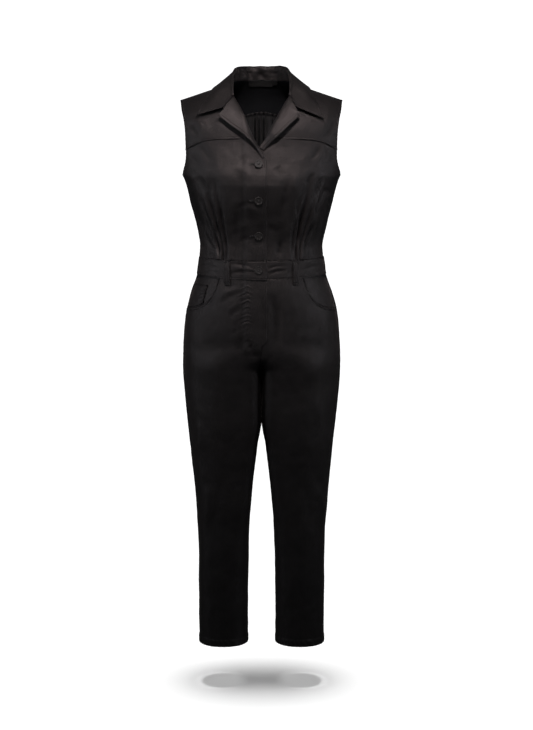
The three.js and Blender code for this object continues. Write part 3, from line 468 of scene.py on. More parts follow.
# The cloth's tones, with painted shade in its folds and a faint painted highlight on its ridges from what
# each point's "fold" holds; the sheen and specular are scaled by the same painted shade
def makeCloth(name, dark, light, roughness, sheen, sheenTint, specular, bump=0.00018):
    material, nodes, links = newMaterial(name)
    shader = nodes["Principled BSDF"]
    shader.inputs["Sheen Roughness"].default_value = 0.42
    shader.inputs["Sheen Tint"].default_value = (*sheenTint, 1)
    fold = nodes.new("ShaderNodeAttribute")
    fold.attribute_name = "fold"
    for amount, socket in ((sheen, "Sheen Weight"), (specular, "Specular IOR Level")):
        faded = mathNode(nodes, links, "MULTIPLY", fold.outputs["Fac"], amount)
        links.new(faded, shader.inputs[socket])
    shader.inputs["Specular Tint"].default_value = (*sheenTint, 1)
    uv = nodes.new("ShaderNodeUVMap")
    uv.uv_map = "cloth"
    fine = nodes.new("ShaderNodeGroup")
    fine.node_tree = weave
    links.new(uv.outputs["UV"], fine.inputs["Vector"])
    place = nodes.new("ShaderNodeTexCoord")
    cloud = nodes.new("ShaderNodeTexNoise")
    cloud.inputs["Scale"].default_value = 26
    cloud.inputs["Detail"].default_value = 5
    cloud.inputs["Roughness"].default_value = 0.6
    links.new(place.outputs["Object"], cloud.inputs["Vector"])
    tone = mathNode(nodes, links, "ADD", mathNode(nodes, links, "MULTIPLY", cloud.outputs["Fac"], 0.6),
                    mathNode(nodes, links, "MULTIPLY", fine.outputs["Tone"], 0.4))
    colour = nodes.new("ShaderNodeValToRGB")
    colour.color_ramp.elements[0].position = 0.3
    colour.color_ramp.elements[0].color = (*dark, 1)
    colour.color_ramp.elements[1].position = 0.72
    colour.color_ramp.elements[1].color = (*light, 1)
    links.new(tone, colour.inputs["Fac"])
    shaded = nodes.new("ShaderNodeVectorMath")
    shaded.operation = "SCALE"
    links.new(colour.outputs["Color"], shaded.inputs[0])
    links.new(fold.outputs["Fac"], shaded.inputs["Scale"])
    links.new(shaded.outputs["Vector"], shader.inputs["Base Color"])
    rough = nodes.new("ShaderNodeMapRange")
    rough.inputs["To Min"].default_value = roughness - 0.06
    rough.inputs["To Max"].default_value = roughness + 0.07
    links.new(cloud.outputs["Fac"], rough.inputs["Value"])
    links.new(rough.outputs["Result"], shader.inputs["Roughness"])
    crumple = nodes.new("ShaderNodeTexNoise")
    crumple.inputs["Scale"].default_value = 70
    crumple.inputs["Detail"].default_value = 4
    links.new(place.outputs["Object"], crumple.inputs["Vector"])
    soft = nodes.new("ShaderNodeBump")
    soft.inputs["Strength"].default_value = 0.6
    soft.inputs["Distance"].default_value = 0.0011
    links.new(crumple.outputs["Fac"], soft.inputs["Height"])
    grain = nodes.new("ShaderNodeBump")
    grain.inputs["Strength"].default_value = 0.5
    grain.inputs["Distance"].default_value = bump
    links.new(fine.outputs["Height"], grain.inputs["Height"])
    links.new(soft.outputs["Normal"], grain.inputs["Normal"])
    links.new(grain.outputs["Normal"], shader.inputs["Normal"])
    return material


sateen = makeCloth("blackSateen", (0.0038, 0.0036, 0.0038), (0.0072, 0.0067, 0.0068),
                   0.52, 0.06, (1.0, 0.91, 0.89), 0.4)
tape = makeCloth("blackTape", (0.016, 0.016, 0.016), (0.032, 0.032, 0.032), 0.55, 0.05, (1, 1, 1), 0.3)
# The back's wrong side, a lighter copy of the wrong-side cloth: painted light on the inside of the back
backWrongSidePaintedLighter = makeCloth("backWrongSidePaintedLighter", (0.009, 0.009, 0.009), (0.02, 0.019, 0.019),
                          0.6, 0.05, (1, 0.97, 0.95), 0.3)
wrongSide = makeCloth("blackWrongSide", (0.003, 0.003, 0.0034), (0.006, 0.006, 0.0068),
                      0.75, 0.02, (0.9, 0.95, 1.0), 0.16)


def makeThread():
    material, nodes, links = newMaterial("blackThread")
    shader = nodes["Principled BSDF"]
    place = nodes.new("ShaderNodeTexCoord")
    twist = nodes.new("ShaderNodeTexNoise")
    twist.inputs["Scale"].default_value = 700
    links.new(place.outputs["Object"], twist.inputs["Vector"])
    colour = nodes.new("ShaderNodeValToRGB")
    colour.color_ramp.elements[0].color = (0.006, 0.0055, 0.0055, 1)
    colour.color_ramp.elements[1].color = (0.016, 0.0145, 0.014, 1)
    links.new(twist.outputs["Fac"], colour.inputs["Fac"])
    links.new(colour.outputs["Color"], shader.inputs["Base Color"])
    shader.inputs["Roughness"].default_value = 0.45
    shader.inputs["Specular IOR Level"].default_value = 0.5
    return material


thread = makeThread()


def makeButtonMaterial():
    material, nodes, links = newMaterial("blackHorn")
    shader = nodes["Principled BSDF"]
    place = nodes.new("ShaderNodeTexCoord")
    swirl = nodes.new("ShaderNodeTexNoise")
    swirl.inputs["Scale"].default_value = 160
    swirl.inputs["Detail"].default_value = 4
    swirl.inputs["Distortion"].default_value = 1.5
    links.new(place.outputs["Object"], swirl.inputs["Vector"])
    colour = nodes.new("ShaderNodeValToRGB")
    colour.color_ramp.elements[0].color = (0.012, 0.0112, 0.011, 1)
    colour.color_ramp.elements[1].color = (0.04, 0.037, 0.035, 1)
    links.new(swirl.outputs["Fac"], colour.inputs["Fac"])
    links.new(colour.outputs["Color"], shader.inputs["Base Color"])
    shader.inputs["Specular IOR Level"].default_value = 0.25
    rough = nodes.new("ShaderNodeMapRange")
    rough.inputs["To Min"].default_value = 0.4
    rough.inputs["To Max"].default_value = 0.55
    links.new(swirl.outputs["Fac"], rough.inputs["Value"])
    links.new(rough.outputs["Result"], shader.inputs["Roughness"])
    scuff = nodes.new("ShaderNodeBump")
    scuff.inputs["Strength"].default_value = 0.25
    scuff.inputs["Distance"].default_value = 0.0002
    links.new(swirl.outputs["Fac"], scuff.inputs["Height"])
    links.new(scuff.outputs["Normal"], shader.inputs["Normal"])
    return material


horn = makeButtonMaterial()

# Pieces of cloth

# How far each point of a grid stands above the cloth around it
def standing(points, outward, passes):
    soft = points
    for axis in [0, 1] * passes:
        before = np.concatenate([soft.take([0], axis), soft.take(range(soft.shape[axis] - 1), axis)], axis)
        after = np.concatenate([soft.take(range(1, soft.shape[axis]), axis), soft.take([-1], axis)], axis)
        soft = (before + 2 * soft + after) / 4
    return np.sum((points - soft) * outward, -1)


# Turns a grid of outer points into one piece of cloth with a wall, laid out in metres for the weave
def clothPiece(name, node, points, outward, wall=clothWall, material=sateen, slot="cloth",
               rounded=False, inside=wrongSide, shade=1.0, extraShade=1.0):
    rows, columns = points.shape[:2]
    # Painted shade in the hollows and a faint painted highlight on the ridges, from how far each point
    # stands above the cloth around it; the piece's extra factor multiplies in more painted shade
    fold = 1 + shade * (0.5 * standing(points, outward, 6) + 0.14 * standing(points, outward, 40))
    fold = np.clip(fold, 0.2, 1.08) * extraShade
    bm = bmesh.new()
    bmesh.ops.create_grid(bm, x_segments=columns - 1, y_segments=rows - 1, size=1.0)
    uvLayer = bm.loops.layers.uv.new("cloth")
    foldShadeLayer = bm.verts.layers.float.new("fold")
    middleRow = np.linalg.norm(np.diff(points[rows // 2], axis=0), axis=1)
    middleColumn = np.linalg.norm(np.diff(points[:, columns // 2], axis=0), axis=1)
    alongRow = np.concatenate([[0], np.cumsum(middleRow)]) * mm
    alongColumn = np.concatenate([[0], np.cumsum(middleColumn)]) * mm
    where = {}
    for vertex in bm.verts:
        j = round((vertex.co.x + 1) / 2 * (columns - 1))
        i = round((vertex.co.y + 1) / 2 * (rows - 1))
        where[vertex] = (i, j)
        vertex.co = points[i, j] * mm
        vertex[foldShadeLayer] = fold[i, j]
    for face in bm.faces:
        for loop in face.loops:
            i, j = where[loop.vert]
            loop[uvLayer].uv = (alongRow[j], alongColumn[i])
    bm.normal_update()
    away = sum((face.normal.dot(Vector(outward[where[face.verts[0]]])) for face in bm.faces), 0.0)
    if away < 0:
        bmesh.ops.reverse_faces(bm, faces=bm.faces)
    mesh = bpy.data.meshes.new(name)
    bm.to_mesh(mesh)
    area = sum(face.calc_area() for face in bm.faces)
    bm.free()
    mesh.shade_smooth()
    mesh.materials.append(material)
    mesh.materials.append(inside if slot == "cloth" and not rounded else material)
    piece = bpy.data.objects.new(name, mesh)
    bpy.context.collection.objects.link(piece)
    body = piece.modifiers.new("wall", "SOLIDIFY")
    body.thickness = wall * mm
    body.offset = -1
    body.material_offset = 1
    if rounded:
        soft = piece.modifiers.new("roundedEdge", "SUBSURF")
        soft.levels = soft.render_levels = 1
    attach(piece, "root")
    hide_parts(node)
    width, length = float(alongRow[-1]), float(alongColumn[-1])
    grow = math.sqrt(max(area / (width * length), 1))  # the creases need a little more cloth than the frame
    width *= grow
    length *= grow


sewn = []  # every row of stitches, as points in millimetres with the way out of the cloth
tacks = []


def sewLine(points, directions):
    sewn.append((points, directions))


def tackLine(points, directions):
    tacks.append((points, directions))


# Presses rows of stitches into a piece; each row is an edge and how far from it the row runs
def pressRows(away, base, lines, depth=0.4):
    for edge, inset in lines:
        away = away + stitchGroove(edgeDistance(base, edge), inset, depth)
    return away


def sewRows(points, directions, lines):
    for edge, inset in lines:
        sewLine(*lineAlong(points, directions, edge, inset))


# Where a row's stitches sit: each one's middle, the way along the row and the way out of the cloth
def stitchPlaces(points, directions, pitch):
    run = np.concatenate([[0], np.cumsum(np.linalg.norm(np.diff(points, axis=0), axis=1))])
    at = np.arange(pitch * 0.6, run[-1], pitch)
    place, ahead, out = (
        np.stack([np.interp(where, run, values[:, k]) for k in range(3)], -1)
        for where, values in [(at, points), (np.minimum(at + 0.5, run[-1]), points), (at, directions)])
    out = unit(out)
    along = ahead - place
    along = unit(along - out * np.sum(along * out, -1, keepdims=True) + 1e-9)
    return place, along, out


# Short rods of thread along each line, a little sunk in the cloth
def makeStitches(name, lines, pitch, length, radius, across=False):
    rod = bmesh.new()
    bmesh.ops.create_uvsphere(rod, u_segments=5, v_segments=4, radius=1)
    corners = np.array([list(v.co) for v in rod.verts])
    rodFaces = [[v.index for v in face.verts] for face in rod.faces]
    rod.free()
    points, faces = [], []
    for row in lines:
        for place, along, out in zip(*stitchPlaces(*row, pitch)):
            other = np.cross(out, along)
            if across:
                along, other = other, -along
            shape = np.stack([other * radius, out * radius, along * length / 2])
            first = len(points) * len(corners)
            points.append((corners @ shape + place + out * radius * 0.25) * mm)
            faces.extend([[first + i for i in face] for face in rodFaces])
    mesh = bpy.data.meshes.new(name)
    mesh.from_pydata(np.concatenate(points).tolist(), [], faces)
    bm = bmesh.new()
    bm.from_mesh(mesh)
    bmesh.ops.recalc_face_normals(bm, faces=bm.faces)
    bm.to_mesh(mesh)
    bm.free()
    mesh.shade_smooth()
    mesh.materials.append(thread)
    piece = bpy.data.objects.new(name, mesh)
    bpy.context.collection.objects.link(piece)
    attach(piece, "root")


# Joins runs of even steps: (from, to, count) each
def spread(*parts):
    return np.concatenate([np.linspace(a, b, n, endpoint=False) for a, b, n in parts] + [[parts[-1][1]]])


def frontAngle(side, share, height):
    inner = angleAt(read(neckEdge[side], height)["across"], height)
    return lerp(inner, read(armholeEdge, height)["angle"], share)


def frontSeamHeight(side, share):
    return read(frontYokeSeam, frontAngle(side, share, -110 + 0 * share))["height"]


sideNames = {-1: "right", 1: "left"}

# Folds of the two fronts, in the picture's x and z
frontCreases = {
    -1: [
        (-93, -372, -102, -288, 2.6, 5), (-102, -288, -118, -178, 1.6, 7),
        (-90, -370, -131, -262, 2.0, 5.5),
        (-80, -360, -86, -212, 1.4, 5), (-99, -366, -130, -314, 1.8, 5), (-128, -320, -160, -212, 1.5, 8),
        (-111, -290, -126, -190, -1.5, 7), (-50, -149, -22, -151, 0.5, 8),
        (-163, -175, -141, -215, 1.0, 9), (-60, -262, -16, -247, 0.8, 7), (-56, -338, -18, -327, 0.8, 7),
        (-70, -300, -50, -230, -1.0, 12), (-30, -372, -34, -300, 0.8, 8), (-58, -160, -10, -212, -0.9, 10),
        (-35, -257, -4, -274, -0.8, 8), (-74, -312, -14, -299, -0.7, 9), (-60, -257, -74, -356, 1.3, 11),
    ],
    1: [
        (76, -372, 79, -288, 2.2, 5), (79, -288, 104, -208, 1.6, 6), (104, -208, 118, -180, 1.2, 7),
        (98, -370, 123, -288, 2.8, 5.5), (123, -288, 146, -214, 1.9, 7.5), (88, -370, 104, -236, 1.8, 4.5),
        (145, -218, 163, -232, 0.9, 5), (58, -195, 30, -290, 1.4, 11), (113, -290, 130, -225, -1.4, 6),
        (30, -170, 52, -190, 0.8, 9), (40, -372, 47, -330, 1.4, 7), (150, -190, 136, -240, 1.0, 9),
        (14, -300, 40, -318, 0.7, 8), (63, -330, 60, -240, -0.9, 10), (83, -178, 47, -248, -1.1, 10),
        (92, -221, 66, -311, -1.1, 8), (130, -221, 102, -352, -1.3, 8), (30, -296, 44, -368, 1.3, 17),
    ],
}
yokeCreases = {
    -1: [(-164, -70, -144, -106, 2.0, 8), (-150, -60, -133, -88, -0.9, 7), (-120, -60, -105, -100, 0.7, 9)],
    1: [(168, -58, 138, -108, 2.2, 8), (155, -48, 134, -84, -0.9, 7), (112, -70, 98, -100, 0.6, 9)],
}
armCreases = {
    -1: [(-143, -118, -116, -156, 1.8, 8), (-166, -140, -140, -168, 1.0, 8)],
    1: [(134, -120, 106, -158, 1.8, 8), (166, -138, 146, -170, 1.0, 8)],
}


def addLowerFront(side):
    u = spread((0, 0.1, 20), (0.1, 0.33, 26), (0.33, 0.62, 70), (0.62, 0.96, 26), (0.96, 1, 12))
    v = spread((0, 0.5, 96), (0.5, 1, 56))
    U, V = np.meshgrid(u, v)
    bottom = waistHeight(lerp(-4, 90, U), False)
    top = frontSeamHeight(side, U)
    height = np.where(V < 0.5, lerp(bottom, underarm, V / 0.5), lerp(underarm, top, (V - 0.5) / 0.5))
    height, dive = runUnder(height, underBand, underYoke)
    U, bottom, top = (repeatRows(a, underBand, underYoke) for a in (U, bottom, top))
    angle = frontAngle(side, U, height)
    across = acrossAt(angle, height)
    base = bodyPoint(side, False, across, height)
    n = gridNormals(base, awayFromAxis(base))
    away = dive + tuckOffset(frontTucks[side], angle, height) + overlapLift(side, across)
    away = away + 1.4 * creaseOffset(base, frontCreases[side]) + creaseOffset(base, armCreases[side])
    away = away + waver(base, 1.5, 62, 1 + side) + waver(base, 0.45, 21, 4 + side)
    lines = [("right", 5.5)]
    if side < 0:
        gape = (1 - np.cos(2 * np.pi * (height + 162) / 80.7)) / 2
        nearEdge = np.exp(-(((across + placketEdge) / 17) ** 2))
        away = away + 1.7 * gape * nearEdge - 0.9 * (1 - gape) * np.exp(-(((across - 8) / 15) ** 2))
        away = away + 0.8 * gape * np.exp(-(((across - 26) / 13) ** 2)) * np.sin(height * 0.05)
        lines.append(("left", 5))
    away = away + pucker(top - height, across, 0.1, 6, 9) + pucker(height - bottom, across, 0.3, 8, 8)
    away = away + pucker(edgeDistance(base, "right"), height, 0.22, 8, 9)
    away = pressRows(away, base, lines)
    points = base + n * away[..., None]
    name = sideNames[side]
    clothPiece(f"{name}FrontCloth", f"{name}_front", points, n)
    sewRows(points, n, lines)


def addFrontYoke(side):
    u = spread((0, 0.9, 66), (0.9, 1, 16))
    v = spread((0, 0.09, 14), (0.09, 0.7, 44), (0.7, 1, 30))
    U, V = np.meshgrid(u, v)
    bottom = frontSeamHeight(side, U)
    height = lerp(bottom, chestLevel + capRise, V)
    across = acrossAt(frontAngle(side, U, height), height)
    base = bodyPoint(side, False, across, height)
    n = gridNormals(base, awayFromAxis(base))
    rise = edgeDistance(base, "bottom")
    away = overlapLift(side, across) + creaseOffset(base, yokeCreases[side])
    away = away + 1.0 * np.exp(-((rise / 4.5) ** 2)) - 0.7 * np.exp(-((rise / 0.9) ** 2))
    away = away + waver(base, 1.1, 48, 7 + side) * ease((1 - V) / 0.15)
    away = away + pucker(rise, across, 0.12, 8, 8) + pucker(edgeDistance(base, "right"), height, 0.2, 8, 9)
    lines = [("bottom", 4.5), ("right", 5.5)]
    away = pressRows(away, base, lines)
    points = base + n * away[..., None]
    name = sideNames[side]
    clothPiece(f"{name}FrontYokeCloth", f"{name}_front_yoke", points, n)
    sewRows(points, n, lines)


neckAngle = float(angleAt(neckHalfWidth, chestLevel + capRise))


def backNeckHeight(angle):
    return lerp(-25, chestLevel + capRise, np.minimum(np.abs(angle) / neckAngle, 1) ** 2.5)


def backPanel(angle, height):
    across = acrossAt(np.abs(angle), height)
    return across, bodyPoint(np.where(angle < 0, -1.0, 1.0), True, across, height)


def addBackYoke():
    u = spread((-1, -0.3, 50), (-0.3, 0.3, 60), (0.3, 1, 50))
    v = spread((0, 0.75, 36), (0.75, 1, 24))
    U, V = np.meshgrid(u, v)
    share = np.abs(U)

    def spreadAt(height):
        return lerp(57, read(armholeEdge, height)["angle"], share**6)

    bottom = read(backYokeSeam, share * spreadAt(-76 + 0 * share))["height"]
    height = lerp(bottom, backNeckHeight(share * 57), V)
    across, base = backPanel(U * spreadAt(height), height)
    n = gridNormals(base, awayFromAxis(base))
    rise = edgeDistance(base, "bottom")
    away = waver(base, 0.9, 55, 11) * ease((1 - V) / 0.15) + pucker(rise, across, 0.12, 8, 8)
    away = away + 1.0 * np.exp(-((rise / 4.5) ** 2)) - 0.7 * np.exp(-((rise / 0.9) ** 2))
    lines = [("bottom", 4.5), ("left", 5.5), ("right", 5.5)]
    away = pressRows(away, base, lines)
    points = base + n * away[..., None]
    clothPiece("backYokeCloth", "back_yoke", points, n)
    sewRows(points, n, lines)


def gatherOffset(across, height, top):
    inside = ease((backGathers["halfSpan"] - np.abs(across)) / 12)
    below = np.maximum(top - height, 0)
    down = np.exp(-((below / backGathers["fade"]) ** 2)) * (1 - 0.55 * ease(1 - below / 8))
    wave = np.cos(np.pi * across * backGathers["count"] / backGathers["halfSpan"])
    return backGathers["depth"] * inside * down * wave


def addBack():
    u = spread((-1, -0.96, 10), (-0.96, -0.31, 40), (-0.31, 0.31, 130), (0.31, 0.96, 40), (0.96, 1, 10))
    v = spread((0, 0.5, 60), (0.5, 1, 50))
    U, V = np.meshgrid(u, v)
    share = np.abs(U)
    top = read(backYokeSeam, share * read(armholeEdge, -76)["angle"])["height"]
    bottom = waistHeight(share * 90, True)
    height = np.where(V < 0.5, lerp(bottom, underarm, V / 0.5), lerp(underarm, top, (V - 0.5) / 0.5))
    height, dive = runUnder(height, underBand, underYoke)
    U, share, bottom, top = (repeatRows(a, underBand, underYoke) for a in (U, share, bottom, top))
    angle = share * read(armholeEdge, height)["angle"]
    across, base = backPanel(angle * np.sign(U), height)
    signed = across * np.sign(U)
    n = gridNormals(base, awayFromAxis(base))
    fade = 1.2 + 0.8 * np.sin(signed * 0.21 + 1.0) * np.sin(signed * 0.083)
    away = dive + gatherOffset(signed, height, top) * fade + tuckOffset(backTucks, angle, height)
    away = away + waver(base, 1.5, 66, 13) + waver(base, 0.45, 20, 14)
    away = away + creaseOffset(base, backCreases) + pucker(height - bottom, across, 0.3, 8, 8)
    away = away + pucker(top - height, signed, 0.12, 8, 8)
    lines = [("left", 5.5), ("right", 5.5)]
    away = pressRows(away, base, lines)
    points = base + n * away[..., None]
    # The back's inside takes the wrong side with painted light
    clothPiece("backCloth", "back", points, n, inside=backWrongSidePaintedLighter)
    sewRows(points, n, lines)


backCreases = [
    (-60, -372, -66, -270, 2.0, 5), (-72, -372, -90, -262, 1.8, 6), (-48, -370, -44, -300, 1.2, 6),
    (62, -372, 70, -268, 2.0, 5), (75, -372, 92, -272, 1.6, 6), (50, -370, 45, -305, 1.2, 6),
    (-160, -130, -128, -180, 1.6, 9), (160, -128, 130, -178, 1.6, 9), (-110, -340, -60, -325, 1.1, 8),
    (20, -350, 90, -338, 1.0, 8), (-20, -330, 40, -322, 0.8, 9), (-150, -220, -110, -262, 1.0, 10),
    (150, -216, 112, -260, 1.0, 10),
]

# Lapels roll over the neck edge and stand off the chest


def lapelHoverAt(u, v):
    outward = np.sin(np.pi / 2 * np.clip(u, 0, 1) ** 0.7)
    return 2.4 + (lapelHover - 2.4) * outward * ease(v / 0.35) + 1.2 * ease(1 - v / 0.25)


def lapelPoint(side, u, v):
    fold, edge = read(lapelFold[side], v), read(lapelEdge[side], v)
    across = lerp(fold["across"], edge["across"], u)
    z = lerp(fold["height"], edge["height"], u)
    return overBody(side, False, across, z, lapelHoverAt(u, v) + overlapLift(side, across))


def addLapel(side):
    v = np.linspace(0, 1, 90)
    u = np.linspace(0, 1, 40)
    U, V = np.meshgrid(u, v)
    top = lapelPoint(side, U, V)
    n = gridNormals(top, awayFromAxis(top))
    lift = -0.9 * np.sin(np.pi * U) * ease(V / 0.4)
    lift = lift + waver(top, 0.8, 34, 17 + side) + waver(top, 0.3, 12, 19 + side)
    lift = lift + stitchGroove(edgeDistance(top, "right"), 5, 0.35) * ease(V / 0.1)
    top = top + n * lift[..., None]
    start, normal = top[:, 0], n[:, 0]
    inward = unit(start - top[:, 2])
    radius = 1.7
    roll = []
    for turn in np.linspace(math.pi, 0, 12)[:-1]:
        point = start - normal * radius + normal * radius * math.cos(turn)
        roll.append(point + inward * radius * math.sin(turn))
    points = np.concatenate([np.stack(roll, 1), top], 1)
    away = np.concatenate([np.repeat(inward[:, None], len(roll), 1), n], 1)
    name = sideNames[side]
    clothPiece(f"{name}LapelCloth", f"{name}_lapel", points, away, wall=1.2,
               rounded=True)
    sewLine(*lineAlong(top[6:], n[6:], "right", 5))
    sewLine(*lineAlong(top[:, int(39 * notchAt[side]):], n[:, int(39 * notchAt[side]):], "top", 5))


# The collar: a stand inside the neck, the roll, and the leaf that falls outside

leafAt = 4 / 6
notchLine = 0.4


def neckPoint(side, at):
    if at <= 0.5:
        angle = neckAngle * (at / 0.5) ** 0.9
        height = backNeckHeight(angle)
        return bodyPoint(side, True, acrossAt(angle, height), height) + np.array([0, -0.4, 0.9])
    height = lerp(chestLevel + capRise, -31, (at - 0.5) / 0.5)
    across = read(neckEdge[side], height)["across"]
    front = (at - 0.5) / 0.5
    return bodyPoint(side, False, across, height) + np.array([-side * 0.4, -1.4 * front, 1.1 + 0.6 * front])


# A smooth curve through points, whose speed follows the distances between them
def smoothPath(path, s):
    path = np.array(path)
    count = len(path)
    place = (count - 1) * s
    i = min(int(place), count - 2)
    w = place - i
    p0 = path[i - 1] if i > 0 else 2 * path[0] - path[1]
    p1, p2 = path[i], path[i + 1]
    p3 = path[i + 2] if i + 2 < count else 2 * path[-1] - path[-2]
    gaps = [max(float(np.linalg.norm(b - a)) ** 0.5, 1e-4) for a, b in ((p0, p1), (p1, p2), (p2, p3))]
    t1 = ((p1 - p0) / gaps[0] - (p2 - p0) / (gaps[0] + gaps[1]) + (p2 - p1) / gaps[1]) * gaps[1]
    t2 = ((p2 - p1) / gaps[1] - (p3 - p1) / (gaps[1] + gaps[2]) + (p3 - p2) / gaps[2]) * gaps[1]
    return p1 + t1 * w + (-3 * p1 + 3 * p2 - 2 * t1 - t2) * w**2 + (2 * p1 - 2 * p2 + t1 + t2) * w**3


def collarSection(side, at, samples):
    roll = {k: float(x) for k, x in read(collarRoll, at).items()}
    top = np.array([side * roll["x"], roll["y"], roll["z"]])
    foot = neckPoint(side, at)
    rim = read(collarBackEdge if at <= 0.5 else collarFrontEdge[side], at)
    nearShoulder = math.exp(-(((at - 0.5) / 0.13) ** 2))
    forward = float(ease((at - 0.6) / 0.4))
    hover = lerp(collarHover["back"], collarHover["front"], forward) + 1.6 * nearShoulder
    edge = overBody(side, at <= 0.5, rim["across"], rim["height"], hover)
    outward = unit(edge - foot)
    half = 3.1
    standTop = lerp(top - outward * 0.2, foot, 0.16)
    leafStart = top + outward * 2 * half - np.array([0, 0, 3.0])
    fall = edge - leafStart
    bow = unit(np.cross(np.cross(fall, np.array([0, 0, 1.0])), fall))
    middle = lerp(leafStart, edge, 0.5) + bow * (lerp(3, 5, at) - 4.5 * nearShoulder)
    crest = top + outward * half + np.array([0, 0, 0.4])
    path = [foot, lerp(foot, standTop, 0.5), standTop, crest, leafStart, middle, edge]
    dip = float(ease((at - 0.78) / 0.22))

    def gorge(u):
        return lapelPoint(side, np.asarray(u), np.asarray(1.0)) + np.array([side * 0.9, 0, 1.0])

    corner = gorge(notchAt[side])
    section = []
    for s in samples:
        point = smoothPath(path, s)
        if s > leafAt and dip > 0:
            line = (s - leafAt) / (1 - leafAt)
            if line < notchLine:
                straight = gorge(notchAt[side] * line / notchLine)
            else:
                straight = lerp(corner, edge, (line - notchLine) / (1 - notchLine))
            point = lerp(point, straight, dip)
        section.append(point)
    return section


def addCollar():
    samples = spread((0, 2 / 6, 12), (2 / 6, leafAt, 18), (leafAt, 1, 26))
    half = spread((0, 0.75, 40), (0.75, 1, 26))
    stations = [(-1, at) for at in half[:0:-1]] + [(1, at) for at in half]
    points = np.array([collarSection(side, float(at), samples) for side, at in stations])
    n = unit(np.cross(np.gradient(points, axis=0), np.gradient(points, axis=1)))
    if n[len(stations) // 2, -2][1] < 0:
        n = -n
    across = np.array([side * at for side, at in stations])[:, None]
    leaf = np.clip((samples - leafAt) / (1 - leafAt), 0, 1)[None, :]
    stand = np.clip(1 - samples / (2 / 6), 0, 1)[None, :]
    ripple = waver(points, 0.9, 30, 21) * (0.35 + 0.65 * leaf)
    inside = ease((0.62 - np.abs(across)) / 0.12) * np.sin(np.pi * np.clip(samples[None, :] / 0.56, 0, 1))
    crush = waver(points * np.array([1, 1, 0.55]), 5.5, 15, 22)
    crush = crush + waver(points * np.array([1, 1, 1.6]), 1.5, 8, 23)
    away = ripple + crush * inside + stitchGroove(edgeDistance(points, "right"), 5, 0.35)
    points = points + n * away[..., None]
    clothPiece("collarCloth", "collar", points, n, wall=1.3, rounded=True, shade=0.3)
    sewLine(*lineAlong(points, n, "right", 5))
    leafFrom = int(np.searchsorted(samples, lerp(leafAt, 1, notchLine + 0.05)))
    sewRows(points[:, leafFrom:], n[:, leafFrom:], [("bottom", 5), ("top", 5)])


# The waistband: interfaced, slightly crushed beside its button

bandCreases = {
    "right_front": [
        (-75, -388, -14, -398, 0.9, 4), (-78, -412, -16, -407, 1.1, 4.5), (-60, -400, -18, -402, -0.7, 4),
        (-140, -394, -92, -402, 0.7, 4), (-135, -410, -95, -408, 0.6, 4),
    ],
    "left_front": [
        (12, -400, 60, -392, 0.9, 4), (12, -412, 66, -403, 1.2, 4.5), (14, -405, 58, -398, -0.8, 4),
        (92, -404, 140, -394, 0.7, 4), (60, -412, 80, -400, 0.7, 4),
    ],
    "back": [(-70, -395, 60, -392, 0.8, 5), (-40, -405, 90, -402, 0.6, 5)],
}


def addWaistband(name, node, back, start, stop, liftAt, seed, creases):
    columns = np.linspace(start, stop, max(int((stop - start) * 1.15), 40))
    rows = spread((0, 0.12, 8), (0.12, 0.88, 22), (0.88, 1, 8))
    A, V = np.meshgrid(columns, rows)
    height = waistHeight(A, back) - V * bandHeight(A, back)
    across = acrossAt(np.abs(A), height)
    base = bodyPoint(np.where(A < 0, -1.0, 1.0), back, across, height)
    out = unit(np.stack([base[..., 0], base[..., 1] * 2.2, 0 * across], -1))
    away = 0.9 + liftAt(base[..., 0]) + 0.5 * np.sin(np.pi * V) ** 0.5 + creaseOffset(base, creases)
    away = away + waver(base * np.array([1, 1, 2.2]), 0.7, 36, seed)
    away = away + pucker(V * waistbandHeight, base[..., 0], 0.16, 5, 7)
    away = away + pucker((1 - V) * waistbandHeight, base[..., 0] + 40, 0.2, 6, 7)
    lines = [("top", 2.2), ("bottom", 2.2)]
    away = pressRows(away, base, lines, 0.35)
    points = base + out * away[..., None]
    clothPiece(name, node, points, out, wall=2.2)
    sewRows(points, out, lines)


def addWaistbands():
    bandLift = 2.4 + 0.9
    edgeAngle, underAngle = float(angleAt(placketEdge, -400)), float(angleAt(underEdge, -400))
    addWaistband("rightFrontWaistbandCloth", "right_front_waistband", False, -90, edgeAngle,
                 lambda x: bandLift * ease((x + 46) / 18), 23, bandCreases["right_front"])
    addWaistband("leftFrontWaistbandCloth", "left_front_waistband", False, -underAngle, 90,
                 lambda x: 0 * x, 24, bandCreases["left_front"])
    addWaistband("backWaistbandCloth", "back_waistband", True, -90, 90,
                 lambda x: 0 * x, 25, bandCreases["back"])


# The trousers


def partedAt(height, back):
    top, power = parting[back]["top"], parting[back]["power"]
    return np.sin(np.clip((top - height) / (top - crotch), 0, 1) * np.pi / 2) ** power


def legRing(height, back):
    body, leg = read(bodyRings, height), read(legRings, height)
    parted = partedAt(height, back)
    centre = body["halfWidth"] * parted / (1 + parted)
    low = height <= crotch
    radius = np.where(low, (leg["outer"] - leg["inner"]) / 2, body["halfWidth"] - centre)
    centre = np.where(low, (leg["outer"] + leg["inner"]) / 2, centre)
    inner = np.degrees(np.arcsin(np.clip((seam / 2 - centre) / radius, -1, 1)))
    key = "back" if back else "front"
    return {"centre": centre, "radius": radius, "innerAngle": np.where(low, -90, inner),
            "depth": np.where(low, leg[key], body[key]),
            "power": np.where(low, leg["power"], body["power"])}


